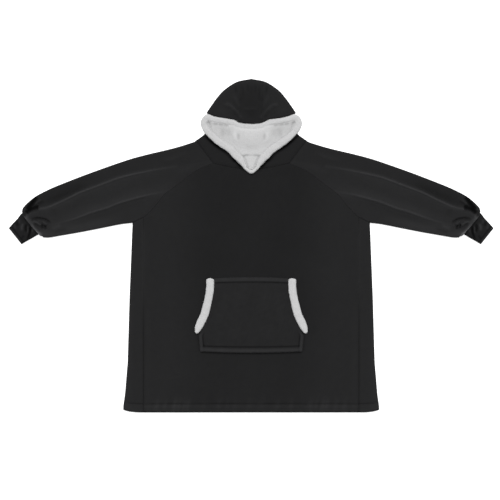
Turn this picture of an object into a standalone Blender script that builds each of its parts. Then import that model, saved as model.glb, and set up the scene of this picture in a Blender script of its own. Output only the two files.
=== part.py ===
"""Wearable blanket hoodie laid flat, face up.

Sizes are in millimetres, scaled to metres as meshes are made. The origin is the middle of the garment on the
surface: +X towards the wearer's left cuff as it lies, +Y towards the hood, +Z up. Two layers of cloth lie on
each other, joined by soft folds along the sides.
"""

import math

import bmesh
import bpy
import numpy as np

MM = 0.001

# Cloth thickness and the levels of the two layers
WALL = 6.0
LAYER_GAP = 0.6
TOP = 2 * WALL + LAYER_GAP
SEAM_GAP = 0.3
FOLD_STEPS = 4

# Body
LENGTH = 1250.0
HEM_Y = -LENGTH / 2
CROWN_Y = LENGTH / 2
SIDE_SEAM_X = 403.5
HEM_CORNER_START_X = 400.0
HEM_CORNER_RUN = 80.0
HEM_CORNER_RISE = 9.5
HEM_CORNER_FADE = 90.0

# Half width of the body at each height: (y, half_width)
BODY_SIDE = (
    (-609.0, 479.5), (-594.0, 478.0), (-556.0, 473.0), (-436.0, 463.0), (-196.0, 456.0), (6.0, 448.0),
    (85.0, 445.0),
)
BODY_ROWS = 9
BODY_CELLS = 10
STRIP_CELLS = 2

# Seams of the left half, from the neck outwards
NECK_CORNER = (-141.0, 308.0)
SHOULDER_POINT = (-207.0, 394.0)
ARMPIT = (-445.0, 85.0)
FRONT_NECK_Y = 283.5
BACK_NECK_Y = 340.0
RAGLAN = (
    NECK_CORNER, (-205.0, 280.0), (-282.0, 223.0), (-324.0, 192.0), (-352.0, 157.0), (-387.0, 119.0),
    (-SIDE_SEAM_X, 106.0),
)
RAGLAN_ROWS = 7
UNDERARM_SEAM_ROWS = 2

# Sleeve silhouette, left
SLEEVE_TOP = (
    SHOULDER_POINT, (-220.0, 386.5), (-294.0, 364.2), (-388.0, 341.8), (-465.0, 320.5), (-594.0, 275.5),
    (-710.0, 231.0), (-762.0, 208.5), (-805.0, 186.0), (-834.0, 163.5), (-855.0, 141.0), (-859.0, 124.0),
)
SLEEVE_UNDER = (
    ARMPIT, (-492.0, 79.0), (-567.0, 64.0), (-642.0, 49.5), (-717.0, 36.5), (-755.0, 30.0), (-779.0, 30.0),
)
SLEEVE_TOP_AT_ARMPIT = 0.29
SLEEVE_ROWS = 11
SLEEVE_LOWER_CELLS = 5
SLEEVE_UPPER_CELLS = 9
SLEEVE_END_HEIGHT = 21.5
SLEEVE_PUFF_RUN = 0.35
SLEEVE_PUFF_RISE = 12.0
SLEEVE_OVERHANG = 14.0

# Folds of a left sleeve: soft ridges (height up) and tucks (height down) along a path
# (height, half_width, path)
SLEEVE_FOLDS = (
    (
        5.0, 16.0,
        (
            (-380.0, 274.0), (-492.0, 250.0), (-567.0, 227.0), (-687.0, 171.0), (-777.0, 137.0),
            (-836.0, 117.0),
        ),
    ),
    (4.5, 15.0, ((-380.0, 190.0), (-454.0, 171.0), (-529.0, 145.0), (-604.0, 122.0), (-702.0, 81.0))),
    (-14.0, 11.0, ((-795.0, 172.0), (-822.0, 146.0), (-846.0, 122.0))),
    (-4.0, 7.0, ((-766.0, 62.0), (-790.0, 80.0), (-806.0, 88.0))),
)

# Cuff, left: each row is a section across the tube, from under the sleeve to the open end
# (upper_x, upper_y, lower_x, lower_y, height)
CUFF_SECTIONS = (
    (-843.0, 125.0, -778.0, 50.0, 13.0),
    (-862.0, 116.0, -800.0, 40.0, 13.0),
    (-876.0, 101.0, -821.0, 27.5, 13.0),
    (-893.0, 83.0, -841.0, 16.5, 12.6),
    (-908.5, 66.0, -860.0, 5.0, 12.0),
)
CUFF_WALL = 5.0
CUFF_CELLS = 6

# Hood
HOOD_WALL = 5.0
HOOD_EDGE_HEIGHT = 15.0
HOOD_RISE = 20.0
HOOD_HALF_WIDTH = 172.0
HOOD_BASE_Y = 457.0
CROWN = ((-168.0, 497.0), (-150.0, 523.5), (-128.5, 553.5), (-101.0, 583.5), (-54.0, 613.5), (0.0, CROWN_Y))
BRIM = ((-165.0, 494.0), (-140.0, 486.0), (-106.0, 478.0), (-69.0, 473.0), (-42.0, 460.5), (0.0, 457.0))
HOOD_STRIP_X = 40.0
HOOD_SIDE_LINES = 12
HOOD_STRIP_CELLS = 4
HOOD_LOWER_CELLS = 5
HOOD_UPPER_CELLS = 5
HOOD_FOLDS = (
    (4.0, 9.0, ((-110.0, 526.0), (-70.0, 527.0), (-48.0, 500.0), (-26.0, 474.0))),
    (4.0, 9.0, ((110.0, 526.0), (70.0, 527.0), (48.0, 500.0), (26.0, 474.0))),
)

# Front of the hood, from the mouth down to the neck seam, left side, from the middle outwards
MOUTH_LOW = ((-30.0, 292.0), (-46.0, 306.0), (-86.0, 349.0), (-129.0, 377.0), (-170.0, 409.0))
NECK_LOW = ((-33.0, 288.5), (-80.0, 295.0), (-130.0, 304.5), (-154.0, 325.0), (-203.0, 389.0))
BAND_LINES = 10
BAND_CELLS = 3
BAND_RISE = 6.0
BAND_RETURN = 24.0

# Sherpa trim round the mouth, left half, from the middle of the brim down to the point: (x, y, z, width)
MOUTH_TRIM = (
    (0.0, 443.0, 27.0, 26.0), (-40.0, 445.0, 26.0, 26.0), (-69.0, 458.0, 24.5, 26.0),
    (-106.0, 463.5, 21.5, 26.0), (-140.0, 471.0, 18.0, 26.0), (-165.0, 478.0, 15.6, 25.0),
    (-177.0, 460.0, 14.0, 25.0), (-170.0, 438.0, 14.2, 25.0), (-148.0, 412.0, 16.0, 26.0),
    (-124.0, 391.5, 17.5, 26.0), (-79.5, 362.5, 18.5, 26.0), (-37.5, 318.5, 19.5, 25.0),
    (-13.0, 291.5, 20.4, 22.0), (0.0, 279.5, 20.4, 22.0),
)
TRIM_THICKNESS = 14.0
TRIM_SIDES = 10
MOUTH_TRIM_STEPS = 28

# Lining that shows through the mouth: (y, half_width)
LINING_EDGE = ((341.0, 74.0), (380.0, 110.0), (410.0, 138.0), (440.0, 154.0), (470.0, 154.0), (500.0, 132.0))
LINING_EDGE_HEIGHT = 3.0
LINING_HEIGHT = 5.6
LINING_BULGE = 8.0
LINING_BULGE_Y = 402.0
LINING_BULGE_X_RADIUS = 46.0
LINING_BULGE_Y_RADIUS = 42.0
NECK_LINING_HALF_WIDTH = 68.0
NECK_LINING_HEIGHT = 5.0

# Pocket, left half: its open edge from the top down, and its lower side edge
POCKET_TOP_SAG = 4.0
POCKET_BOTTOM_RISE = 5.0
POCKET_EDGE = (
    (-139.0, -122.5), (-140.0, -161.0), (-147.5, -205.0), (-158.0, -255.0), (-172.0, -288.0),
    (-197.0, -337.0), (-191.0, -397.0),
)
POCKET_THICKNESS = 5.0
POCKET_ROWS = 12
POCKET_CELLS = 8

# Sherpa trim of the pocket's open edge, left: (x, y, width)
POCKET_TRIM = (
    (-153.5, -122.0, 28.0), (-154.0, -161.0, 28.0), (-161.5, -205.0, 28.0), (-173.0, -252.0, 29.0),
    (-189.5, -289.0, 28.0), (-198.5, -309.0, 24.0), (-206.0, -329.0, 11.0),
)
POCKET_TRIM_THICKNESS = 13.0
POCKET_TRIM_STEPS = 14

# Finishes: (name, red, green, blue, roughness)
CHARCOAL_FLEECE = ("charcoal_fleece", 0.018, 0.018, 0.019, 0.95)
CHARCOAL_CUFF = ("charcoal_cuff", 0.014, 0.014, 0.015, 0.9)
WHITE_SHERPA = ("white_sherpa", 0.72, 0.72, 0.73, 1.0)


def clear_scene():
    for obj in list(bpy.data.objects):
        bpy.data.objects.remove(obj, do_unlink=True)


def finish(row):
    name, red, green, blue, roughness = row
    material = bpy.data.materials.get(name) or bpy.data.materials.new(name)
    material.use_nodes = True
    shader = material.node_tree.nodes["Principled BSDF"]
    shader.inputs["Base Color"].default_value = (red, green, blue, 1.0)
    shader.inputs["Roughness"].default_value = roughness
    shader.inputs["Metallic"].default_value = 0.0
    return material


def through(knots, count):
    """count points, evenly spaced, on a smooth curve through the knots."""
    knots = np.asarray(knots, float)
    ends = np.vstack([2 * knots[0] - knots[1], knots, 2 * knots[-1] - knots[-2]])
    fine = []
    for a, b, c, d in zip(ends, ends[1:], ends[2:], ends[3:]):
        for t in np.linspace(0, 1, 16, endpoint=False):
            bend = (2 * a - 5 * b + 4 * c - d) * t**2 + (3 * b - a - 3 * c + d) * t**3
            fine.append(0.5 * (2 * b + (c - a) * t + bend))
    fine.append(knots[-1])
    fine = np.array(fine)
    run = np.concatenate([[0], np.cumsum(np.linalg.norm(np.diff(fine[:, :2], axis=0), axis=1))])
    wanted = np.linspace(0, run[-1], count)
    return np.stack([np.interp(wanted, run, fine[:, k]) for k in range(fine.shape[1])], axis=1)


def table(rows, at):
    """The second column of the rows at this value of the first."""
    rows = np.array([row[:2] for row in rows], float)
    rows = rows[np.argsort(rows[:, 0])]
    return np.interp(at, rows[:, 0], rows[:, 1])


def unit(vector):
    return np.asarray(vector, float) / np.linalg.norm(vector)


def sideways(points):
    """Unit normals, to the left of travel, at each point of a plan polyline."""
    step = np.gradient(points[:, :2], axis=0)
    return np.stack([-step[:, 1], step[:, 0]], axis=1) / np.linalg.norm(step, axis=1)[:, None]


def fold_height(x, y, folds):
    """Height that the soft folds add at a plan point."""
    total = 0.0
    for height, half_width, path in folds:
        nearest = math.inf
        for a, b in zip(path, path[1:]):
            run = np.subtract(b, a)
            t = np.clip(np.dot((x - a[0], y - a[1]), run) / np.dot(run, run), 0, 1)
            nearest = min(nearest, math.hypot(x - a[0] - t * run[0], y - a[1] - t * run[1]))
        total += height * math.exp(-((nearest / half_width) ** 2))
    return total


def mesh_object(name, points, faces, row):
    mesh = bpy.data.meshes.new(name)
    mesh.from_pydata([tuple(np.asarray(point) * MM) for point in points], [], faces)
    shape = bmesh.new()
    shape.from_mesh(mesh)
    bmesh.ops.recalc_face_normals(shape, faces=shape.faces)
    bmesh.ops.triangulate(shape, faces=shape.faces)
    shape.to_mesh(mesh)
    shape.free()
    mesh.shade_smooth()
    mesh.set_sharp_from_angle(angle=math.radians(50))
    mesh.materials.append(finish(row))
    obj = bpy.data.objects.new(name, mesh)
    bpy.context.collection.objects.link(obj)
    return obj


def wall(name, outer, inner, row, present=None, round_trip=False):
    """A cloth wall between two grids of points, with a rim wherever its cells stop."""
    outer = np.asarray(outer, float)
    inner = np.asarray(inner, float)
    rows, columns = outer.shape[:2]
    across = columns if round_trip else columns - 1
    if present is None:
        present = np.ones((rows - 1, across), bool)
    number = {}
    points = []

    def vertex(side, i, j):
        key = (side, i, j % columns)
        if key not in number:
            number[key] = len(points)
            points.append((outer, inner)[side][i, j % columns])
        return number[key]

    def there(i, j):
        if round_trip:
            j %= across
        return 0 <= i < rows - 1 and 0 <= j < across and present[i, j]

    faces = []
    for i in range(rows - 1):
        for j in range(across):
            if not present[i, j]:
                continue
            corners = ((i, j), (i, j + 1), (i + 1, j + 1), (i + 1, j))
            faces.append([vertex(0, *corner) for corner in corners])
            faces.append([vertex(1, *corner) for corner in reversed(corners)])
            beyond = ((i - 1, j), (i, j + 1), (i + 1, j), (i, j - 1))
            for side, neighbour in enumerate(beyond):
                if not there(*neighbour):
                    a = corners[side]
                    b = corners[(side + 1) % 4]
                    faces.append([vertex(0, *b), vertex(0, *a), vertex(1, *a), vertex(1, *b)])
    return mesh_object(name, points, faces, row)


def layer(plan, heights, thickness):
    """Outer and inner points over plan points, the inner ones thickness below the given heights."""
    outer = np.column_stack([plan, heights])
    inner = np.column_stack([plan, np.subtract(heights, thickness)])
    return outer, inner


def soft_fold(edge, outward, height, thickness):
    """Points round a fold, from the lower layer to the upper, without its two ends."""
    radius = height / 2
    centre = np.asarray(edge, float) - np.asarray(outward) * radius
    outer = []
    inner = []
    for k in range(1, FOLD_STEPS):
        angle = math.pi * k / FOLD_STEPS
        for points, reach in ((outer, radius), (inner, radius - thickness)):
            plan = centre + np.asarray(outward) * reach * math.sin(angle)
            points.append((*plan, radius - reach * math.cos(angle)))
    return outer, inner


def between(a, b, cells):
    return [np.asarray(a, float) + (np.asarray(b, float) - a) * k / cells for k in range(cells + 1)]


def hem_line(x):
    beyond = max(0.0, abs(x) - HEM_CORNER_START_X) / HEM_CORNER_RUN
    return HEM_CORNER_RISE * beyond**3


def raglan_points():
    return through(RAGLAN, RAGLAN_ROWS + 1)


def body_rows():
    """Height and half width of each row of a front or back, from the hem up the side and raglan seams."""
    top = RAGLAN[-1][1]
    rows = [(y, SIDE_SEAM_X) for y in np.linspace(HEM_Y, top, BODY_ROWS + 1)]
    edges = raglan_points()
    away = sideways(edges)
    inset = edges + away * SEAM_GAP / 2 * np.sign(away[:, :1])
    rows[-1] = (top - SEAM_GAP, SIDE_SEAM_X)
    rows += [(y, -x) for x, y in inset[-2::-1]]
    return rows


def row_y(y, x, half_width, share, neck_y):
    """Height of a body row at x: the hem's corners curve up, and the top row follows the neck."""
    fade = max(0.0, 1 - (y - HEM_Y) / HEM_CORNER_FADE) ** 2
    across = abs(x) / half_width
    dip = (neck_y - NECK_CORNER[1]) * (1 - across ** 1.4) * share
    return y + hem_line(x) * fade + dip


def rise_share(index):
    """How much of the neck's curve a row takes: none up to the side seam's top, all at the neck."""
    return max(0.0, (index - BODY_ROWS) / RAGLAN_ROWS) ** 2


def make_front():
    outer = []
    inner = []
    for index, (y, half) in enumerate(body_rows()):
        reach = half - SEAM_GAP / 2
        xs = np.linspace(-reach, reach, BODY_CELLS + 1)
        plan = [(x, row_y(y, x, half, rise_share(index), FRONT_NECK_Y - SEAM_GAP)) for x in xs]
        above, below = layer(plan, [TOP] * len(plan), WALL)
        outer.append(above)
        inner.append(below)
    wall("front_panel", outer, inner, CHARCOAL_FLEECE)


def back_side(index, y, sign):
    """The side of a back row, from its seam on the front, round the fold, to the middle."""
    radius = TOP / 2
    on_seam_row = index == BODY_ROWS
    half = table(BODY_SIDE, y if y < ARMPIT[1] else ARMPIT[1])
    outward = (sign, 0.0)

    def place(x):
        if on_seam_row:
            run = (abs(x) - SIDE_SEAM_X) / (-ARMPIT[0] - SIDE_SEAM_X)
            return x, y + (ARMPIT[1] - 0.6 - y) * np.clip(run, 0, 1)
        return x, row_y(y, x, half, 0.0, 0.0)

    strip = [place(sign * x) for x in np.linspace(SIDE_SEAM_X + SEAM_GAP / 2, half - radius, STRIP_CELLS + 1)]
    over = layer(strip, [TOP] * len(strip), WALL)
    edge = place(sign * half)
    bend = soft_fold(edge, outward, TOP, WALL)
    under_plan = strip[::-1]
    under_plan[-1] = place(sign * SIDE_SEAM_X)
    under = layer(under_plan, [0.0] * len(under_plan), -WALL)
    outer = np.vstack([over[0], bend[0][::-1], under[0]])
    inner = np.vstack([over[1], bend[1][::-1], under[1]])
    return outer, inner


def make_back():
    outer = []
    inner = []
    rows = body_rows()
    for index, (y, half) in enumerate(rows):
        share = rise_share(index)
        xs = np.linspace(-half, half, BODY_CELLS + 1)
        plan = [(x, row_y(y, x, half, share, BACK_NECK_Y - SEAM_GAP)) for x in xs]
        middle = layer(plan, [0.0] * len(plan), -WALL)
        left = back_side(min(index, BODY_ROWS), min(y, rows[BODY_ROWS][0]), -1.0)
        right = back_side(min(index, BODY_ROWS), min(y, rows[BODY_ROWS][0]), 1.0)
        outer.append(np.vstack([left[0][:-1], middle[0], right[0][::-1][1:]]))
        inner.append(np.vstack([left[1][:-1], middle[1], right[1][::-1][1:]]))
    outer = np.array(outer)
    present = np.ones((outer.shape[0] - 1, outer.shape[1] - 1), bool)
    side = (outer.shape[1] - 1 - BODY_CELLS) // 2
    present[BODY_ROWS:, :side] = False
    present[BODY_ROWS:, -side:] = False
    wall("back_panel", outer, inner, CHARCOAL_FLEECE, present)


def sleeve_stations():
    """Plan points of both edges at each station from neck to cuff, and the number of the first whole tube."""
    seam = raglan_points()
    under_seam = np.array(between(RAGLAN[-1], ARMPIT, UNDERARM_SEAM_ROWS))[1:]
    open_edge = np.vstack([seam, under_seam])
    tube_edge = through(SLEEVE_UNDER, SLEEVE_ROWS + 1)[1:]
    top = through(SLEEVE_TOP, 401)
    open_count = len(open_edge)
    fractions = np.concatenate([
        np.linspace(0, SLEEVE_TOP_AT_ARMPIT, open_count),
        np.linspace(SLEEVE_TOP_AT_ARMPIT, 1, SLEEVE_ROWS + 1)[1:],
    ])
    upper = np.array([top[int(round(f * 400))] for f in fractions])
    return np.vstack([open_edge, tube_edge]), upper, open_count - 1


def make_sleeve(name, sign):
    lower_edge, upper_edge, first_tube = sleeve_stations()
    inset = sideways(lower_edge) * -SEAM_GAP / 2
    count = len(lower_edge)
    outer = []
    inner = []
    for i, (low, high) in enumerate(zip(lower_edge, upper_edge)):
        whole = i >= first_tube
        run = np.clip((i - first_tube) / (count - 1 - first_tube), 0, 1)
        puff = np.clip((run - 1 + SLEEVE_PUFF_RUN) / SLEEVE_PUFF_RUN, 0, 1) ** 2
        height = TOP + (SLEEVE_END_HEIGHT - TOP) * puff
        across = unit(high - low)
        neck_shift = unit((high - low)[::-1] * (1, -1)) * (-SEAM_GAP / 2) if i == 0 else np.zeros(2)
        near = low + across * height / 2 if whole else low + inset[i] * np.sign(inset[i] @ across)
        near = near + neck_shift
        far_edge = high + neck_shift
        far = far_edge - across * height / 2
        under_plan = between(near, far, SLEEVE_LOWER_CELLS)
        over_plan = between(far, near, SLEEVE_UPPER_CELLS)
        wide = np.linspace(0, 1, SLEEVE_UPPER_CELLS + 1)
        crown = SLEEVE_PUFF_RISE * puff * np.sin(np.pi * wide) ** 0.7
        soft = np.sin(np.pi * wide) ** 0.5
        folds = [fold_height(x, y, SLEEVE_FOLDS) for x, y in over_plan]
        tops = height + crown + soft * folds
        under = layer(under_plan, [0.0] * len(under_plan), -WALL)
        over = layer(over_plan, tops, WALL)
        far_fold = soft_fold(far_edge, across, height, WALL)
        near_fold = soft_fold(low, -across, height, WALL)
        outer.append(np.vstack([under[0], far_fold[0], over[0], near_fold[0][::-1]]))
        inner.append(np.vstack([under[1], far_fold[1], over[1], near_fold[1][::-1]]))
    outer = np.array(outer)
    inner = np.array(inner)
    back = np.array((-across[1], across[0], 0.0)) * -SLEEVE_OVERHANG
    bend = np.arange(1, FOLD_STEPS) / FOLD_STEPS
    under_share = np.ones(SLEEVE_LOWER_CELLS + 1)
    over_share = np.zeros(SLEEVE_UPPER_CELLS + 1)
    share = np.concatenate([under_share, 1 - bend, over_share, bend])
    outer[-1] += share[:, None] * back
    inner[-1] += share[:, None] * back
    present = np.ones((count - 1, outer.shape[1]), bool)
    closing = FOLD_STEPS
    present[:first_tube, -closing:] = False
    flip = (-sign, 1, 1)
    wall(name, outer * flip, inner * flip, CHARCOAL_FLEECE, present, round_trip=True)


def make_cuff(name, sign):
    outer = []
    inner = []
    for high_x, high_y, low_x, low_y, height in CUFF_SECTIONS:
        low = np.array((low_x, low_y))
        high = np.array((high_x, high_y))
        across = unit(high - low)
        near = low + across * height / 2
        far = high - across * height / 2
        under = layer(between(near, far, CUFF_CELLS), [0.0] * (CUFF_CELLS + 1), -CUFF_WALL)
        over = layer(between(far, near, CUFF_CELLS), [height] * (CUFF_CELLS + 1), CUFF_WALL)
        far_fold = soft_fold(high, across, height, CUFF_WALL)
        near_fold = soft_fold(low, -across, height, CUFF_WALL)
        outer.append(np.vstack([under[0], far_fold[0], over[0], near_fold[0][::-1]]))
        inner.append(np.vstack([under[1], far_fold[1], over[1], near_fold[1][::-1]]))
    flip = (-sign, 1, 1)
    wall(name, np.array(outer) * flip, np.array(inner) * flip, CHARCOAL_CUFF, round_trip=True)


def hood_top(x, y):
    """Height of the hood's upper layer."""
    reach = (x / HOOD_HALF_WIDTH) ** 2 + ((y - HOOD_BASE_Y) / (CROWN_Y - HOOD_BASE_Y)) ** 2
    crowned = HOOD_EDGE_HEIGHT + HOOD_RISE * max(0.0, 1 - reach)
    return crowned + fold_height(x, y, HOOD_FOLDS) * min(1.0, max(0.0, 1.2 - reach))


def hood_line(bottom, edge, outward, brim):
    """One line of the hood: along the surface, round the crown's fold and back over to the brim."""
    radius = HOOD_EDGE_HEIGHT / 2
    centre = np.asarray(edge) - np.asarray(outward) * radius
    under = layer(between(bottom, centre, HOOD_LOWER_CELLS), [0.0] * (HOOD_LOWER_CELLS + 1), -HOOD_WALL)
    over_plan = between(centre, brim, HOOD_UPPER_CELLS)
    heights = [HOOD_EDGE_HEIGHT] + [hood_top(x, y) for x, y in over_plan[1:]]
    over = layer(over_plan, heights, HOOD_WALL)
    bend = soft_fold(edge, outward, HOOD_EDGE_HEIGHT, HOOD_WALL)
    return np.vstack([under[0], bend[0], over[0]]), np.vstack([under[1], bend[1], over[1]])


def neck_y(x, middle_y):
    """Height of a neck seam between the neck corners, from its height in the middle."""
    across = min(1.0, abs(x) / -NECK_CORNER[0])
    return NECK_CORNER[1] + (middle_y - NECK_CORNER[1]) * (1 - across**1.4)


def cut_at(curve, x):
    """The stretch of a left curve from its outer end to this x."""
    outside = curve[curve[:, 0] < x]
    after = curve[len(outside)]
    before = outside[-1]
    t = (x - before[0]) / (after[0] - before[0])
    return np.vstack([outside, before + (after - before) * t])


def make_hood_strip():
    crown = through(CROWN, 200)
    brim = through(BRIM, 200)
    reach = HOOD_STRIP_X - SEAM_GAP / 2
    outer = []
    inner = []
    for x in np.linspace(-reach, reach, HOOD_STRIP_CELLS + 1):
        edge = (x, table(crown, -abs(x)))
        end = (x, table(brim, -abs(x)))
        above, below = hood_line((x, neck_y(x, BACK_NECK_Y) + SEAM_GAP), edge, (0.0, 1.0), end)
        outer.append(above)
        inner.append(below)
    wall("hood_center", outer, inner, CHARCOAL_FLEECE)


def make_hood_side(name, sign):
    strip_x = -HOOD_STRIP_X - SEAM_GAP / 2
    crown = through(cut_at(through(CROWN, 200), strip_x), HOOD_SIDE_LINES + 1)
    brim = through(cut_at(through(BRIM, 200), strip_x), HOOD_SIDE_LINES + 1)
    away = unit(np.subtract(SHOULDER_POINT, NECK_CORNER)[::-1] * (1, -1))
    side_neck = [np.add(SHOULDER_POINT, (7.0, -3.0)), np.add(NECK_CORNER, away * SEAM_GAP)]
    back_neck = [(x, neck_y(x, BACK_NECK_Y) + SEAM_GAP) for x in np.linspace(NECK_CORNER[0] + 6, strip_x, 5)]
    run = np.vstack([side_neck[0], side_neck[1], back_neck])
    lengths = np.concatenate([[0], np.cumsum(np.linalg.norm(np.diff(run, axis=0), axis=1))])
    stops = np.linspace(0, lengths[-1], HOOD_SIDE_LINES + 1)
    corner = int(np.argmin(abs(stops - lengths[1])))
    stops[corner] = lengths[1]
    bottoms = np.stack([np.interp(stops, lengths, run[:, k]) for k in (0, 1)], axis=1)
    normals = sideways(crown)
    outer = []
    inner = []
    for i, (bottom, edge, end) in enumerate(zip(bottoms, crown, brim)):
        share = (i / HOOD_SIDE_LINES) ** 2
        outward = unit(normals[i] * (1 - share) + np.array((0.0, 1.0)) * share)
        if i == 0:
            end = edge + np.array((12.0, -5.0))
        above, below = hood_line(bottom, edge, outward, end)
        outer.append(above)
        inner.append(below)
    flip = (-sign, 1, 1)
    side = wall(name, np.array(outer) * flip, np.array(inner) * flip, CHARCOAL_FLEECE)
    band = make_hood_band(name + "_front", sign)
    join = side.modifiers.new("front band", "BOOLEAN")
    join.operation = "UNION"
    join.object = band
    band.hide_render = True
    band.display_type = "WIRE"


def make_hood_band(name, sign):
    """The hood's front below the mouth, which wraps round the side of the neck and under the hood."""
    mouth = through(MOUTH_LOW, BAND_LINES + 1)
    neck = through(NECK_LOW, BAND_LINES + 1)
    outward = unit(np.subtract(SHOULDER_POINT, NECK_CORNER))
    neck_away = unit(outward[::-1] * (1, -1))
    outer = []
    inner = []
    for m, n in zip(mouth, neck):
        if n[0] > NECK_CORNER[0]:
            n = np.array((n[0], neck_y(n[0], FRONT_NECK_Y) + SEAM_GAP * 2))
        else:
            n = n + neck_away * SEAM_GAP * 2
        plan = between(n, m, BAND_CELLS)
        heights = [TOP + BAND_RISE * k / BAND_CELLS for k in range(BAND_CELLS + 1)]
        above, below = layer(plan, heights, HOOD_WALL)
        outer.append(above)
        inner.append(below)
    ends = between(neck[-1] + neck_away * SEAM_GAP * 2, mouth[-1], BAND_CELLS)
    for k in range(1, FOLD_STEPS + 1):
        angle = math.pi * k / FOLD_STEPS
        above = []
        below = []
        for j, plan in enumerate(ends):
            radius = (TOP + BAND_RISE * j / BAND_CELLS) / 2
            for points, reach in ((above, radius - 0.4), (below, radius - HOOD_WALL)):
                out = plan + outward * reach * math.sin(angle)
                points.append((*out, radius + reach * math.cos(angle)))
        outer.append(above)
        inner.append(below)
    for reach in (0.5, 1.0):
        plan = [p - outward * BAND_RETURN * reach for p in ends]
        below, above = layer(plan, [HOOD_WALL - 0.6] * len(plan), HOOD_WALL - 1.0)
        outer.append(above)
        inner.append(below)
    flip = (-sign, 1, 1)
    return wall(name, np.array(outer) * flip, np.array(inner) * flip, CHARCOAL_FLEECE)


def tube(name, path, widths, thickness, row, closed):
    """A padded band: an oval section, wide across its path in plan, along a path of points."""
    path = np.asarray(path, float)
    if closed:
        step = np.roll(path, -1, axis=0) - np.roll(path, 1, axis=0)
    else:
        step = np.gradient(path, axis=0)
    side = np.stack([-step[:, 1], step[:, 0], np.zeros(len(path))], axis=1)
    side /= np.linalg.norm(side, axis=1)[:, None]
    points = []
    for centre, across, width in zip(path, side, widths):
        for k in range(TRIM_SIDES):
            angle = 2 * math.pi * (k + 0.5) / TRIM_SIDES
            lift = np.array((0, 0, thickness / 2 * math.sin(angle)))
            points.append(centre + across * width / 2 * math.cos(angle) + lift)
    faces = []
    count = len(path)
    for i in range(count if closed else count - 1):
        for k in range(TRIM_SIDES):
            a = i * TRIM_SIDES
            b = (i + 1) % count * TRIM_SIDES
            after = (k + 1) % TRIM_SIDES
            faces.append([a + k, a + after, b + after, b + k])
    if not closed:
        faces.append(list(range(TRIM_SIDES))[::-1])
        faces.append([(count - 1) * TRIM_SIDES + k for k in range(TRIM_SIDES)])
    return mesh_object(name, points, faces, row)


def make_hood_trim():
    half = through(MOUTH_TRIM, MOUTH_TRIM_STEPS + 1)
    other = half[-2:0:-1] * (-1, 1, 1, 1)
    loop = np.vstack([half, other])
    tube("hood_trim", loop[:, :3], loop[:, 3], TRIM_THICKNESS, WHITE_SHERPA, closed=True)


def make_hood_lining():
    base = HOOD_WALL + SEAM_GAP
    outer = []
    inner = []
    first, last = LINING_EDGE[0][0], LINING_EDGE[-1][0]
    for y in np.linspace(first, last, 13):
        half = table(LINING_EDGE, y)
        heights = []
        plan = []
        for u in np.linspace(-1, 1, 15):
            x = u * half
            edge_share = min(1.0, (1 - abs(u)) * half / 18.0, (y - first) / 12.0, (last - y) / 18.0)
            aside = (x / LINING_BULGE_X_RADIUS) ** 2
            along = ((y - LINING_BULGE_Y) / LINING_BULGE_Y_RADIUS) ** 2
            swell = math.exp(-aside - along)
            full = LINING_HEIGHT - LINING_EDGE_HEIGHT
            height = LINING_EDGE_HEIGHT + full * math.sqrt(max(edge_share, 0.0))
            heights.append(base + height + LINING_BULGE * swell * max(edge_share, 0.0))
            plan.append((x, max(y, neck_y(x, BACK_NECK_Y) + 2 * SEAM_GAP)))
        plan = np.array(plan)
        outer.append(np.column_stack([plan, heights]))
        inner.append(np.column_stack([plan, [base] * len(plan)]))
    wall("hood_lining", outer, inner, WHITE_SHERPA)


def make_neck_lining():
    base = WALL + SEAM_GAP
    outer = []
    inner = []
    for x in np.linspace(-NECK_LINING_HALF_WIDTH, NECK_LINING_HALF_WIDTH, 13):
        low = max(neck_y(x, FRONT_NECK_Y), table(MOUTH_LOW, -abs(x)) if abs(x) > -MOUTH_LOW[0][0] else 0.0)
        plan = between((x, low + 1.0), (x, neck_y(x, BACK_NECK_Y) - 1.0), 3)
        heights = [base + NECK_LINING_HEIGHT] * len(plan)
        outer.append(np.column_stack([plan, heights]))
        inner.append(np.column_stack([plan, [base] * len(plan)]))
    wall("neck_lining", outer, inner, WHITE_SHERPA)


def make_pocket():
    base = TOP + SEAM_GAP
    edge = through(POCKET_EDGE[:-1], POCKET_ROWS - 1)
    edge = np.vstack([edge, between(POCKET_EDGE[-2], POCKET_EDGE[-1], 2)[1:]])
    outer = []
    inner = []
    for i, (x_edge, y_edge) in enumerate(edge):
        share = i / (len(edge) - 1)
        sag = POCKET_TOP_SAG * (1 - share) - POCKET_BOTTOM_RISE * share
        plan = [(u * -x_edge, y_edge + sag * (1 - u * u)) for u in np.linspace(-1, 1, POCKET_CELLS + 1)]
        outer.append(np.column_stack([plan, [base + POCKET_THICKNESS] * len(plan)]))
        inner.append(np.column_stack([plan, [base] * len(plan)]))
    wall("pocket", outer, inner, CHARCOAL_FLEECE)


def make_pocket_trim(name, sign):
    line = through(POCKET_TRIM, POCKET_TRIM_STEPS)
    centre_z = TOP + SEAM_GAP + POCKET_TRIM_THICKNESS / 2
    path = np.column_stack([line[:, 0] * -sign, line[:, 1], np.full(len(line), centre_z)])
    tube(name, path, line[:, 2], POCKET_TRIM_THICKNESS, WHITE_SHERPA, closed=False)


def main():
    clear_scene()
    make_back()
    make_front()
    for side, sign in (("right", -1.0), ("left", 1.0)):
        make_sleeve("sleeve_" + side, sign)
        make_cuff("cuff_" + side, sign)
        make_hood_side("hood_side_" + side, sign)
        make_pocket_trim("pocket_trim_" + side, sign)
    make_hood_strip()
    make_hood_lining()
    make_neck_lining()
    make_hood_trim()
    make_pocket()


main()
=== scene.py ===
"""Looks of a wearable blanket hoodie laid flat, face up, over its solids.

Sizes are in millimetres until a mesh is made. The wearer's right side, at -X, is worked out first, and the left
side is its mirror image. The middle of the garment on the floor is the origin, and +Y runs towards the hood.
"""

from __future__ import annotations

import logging
import math
from dataclasses import dataclass
from enum import Enum
from typing import Sequence

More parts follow.
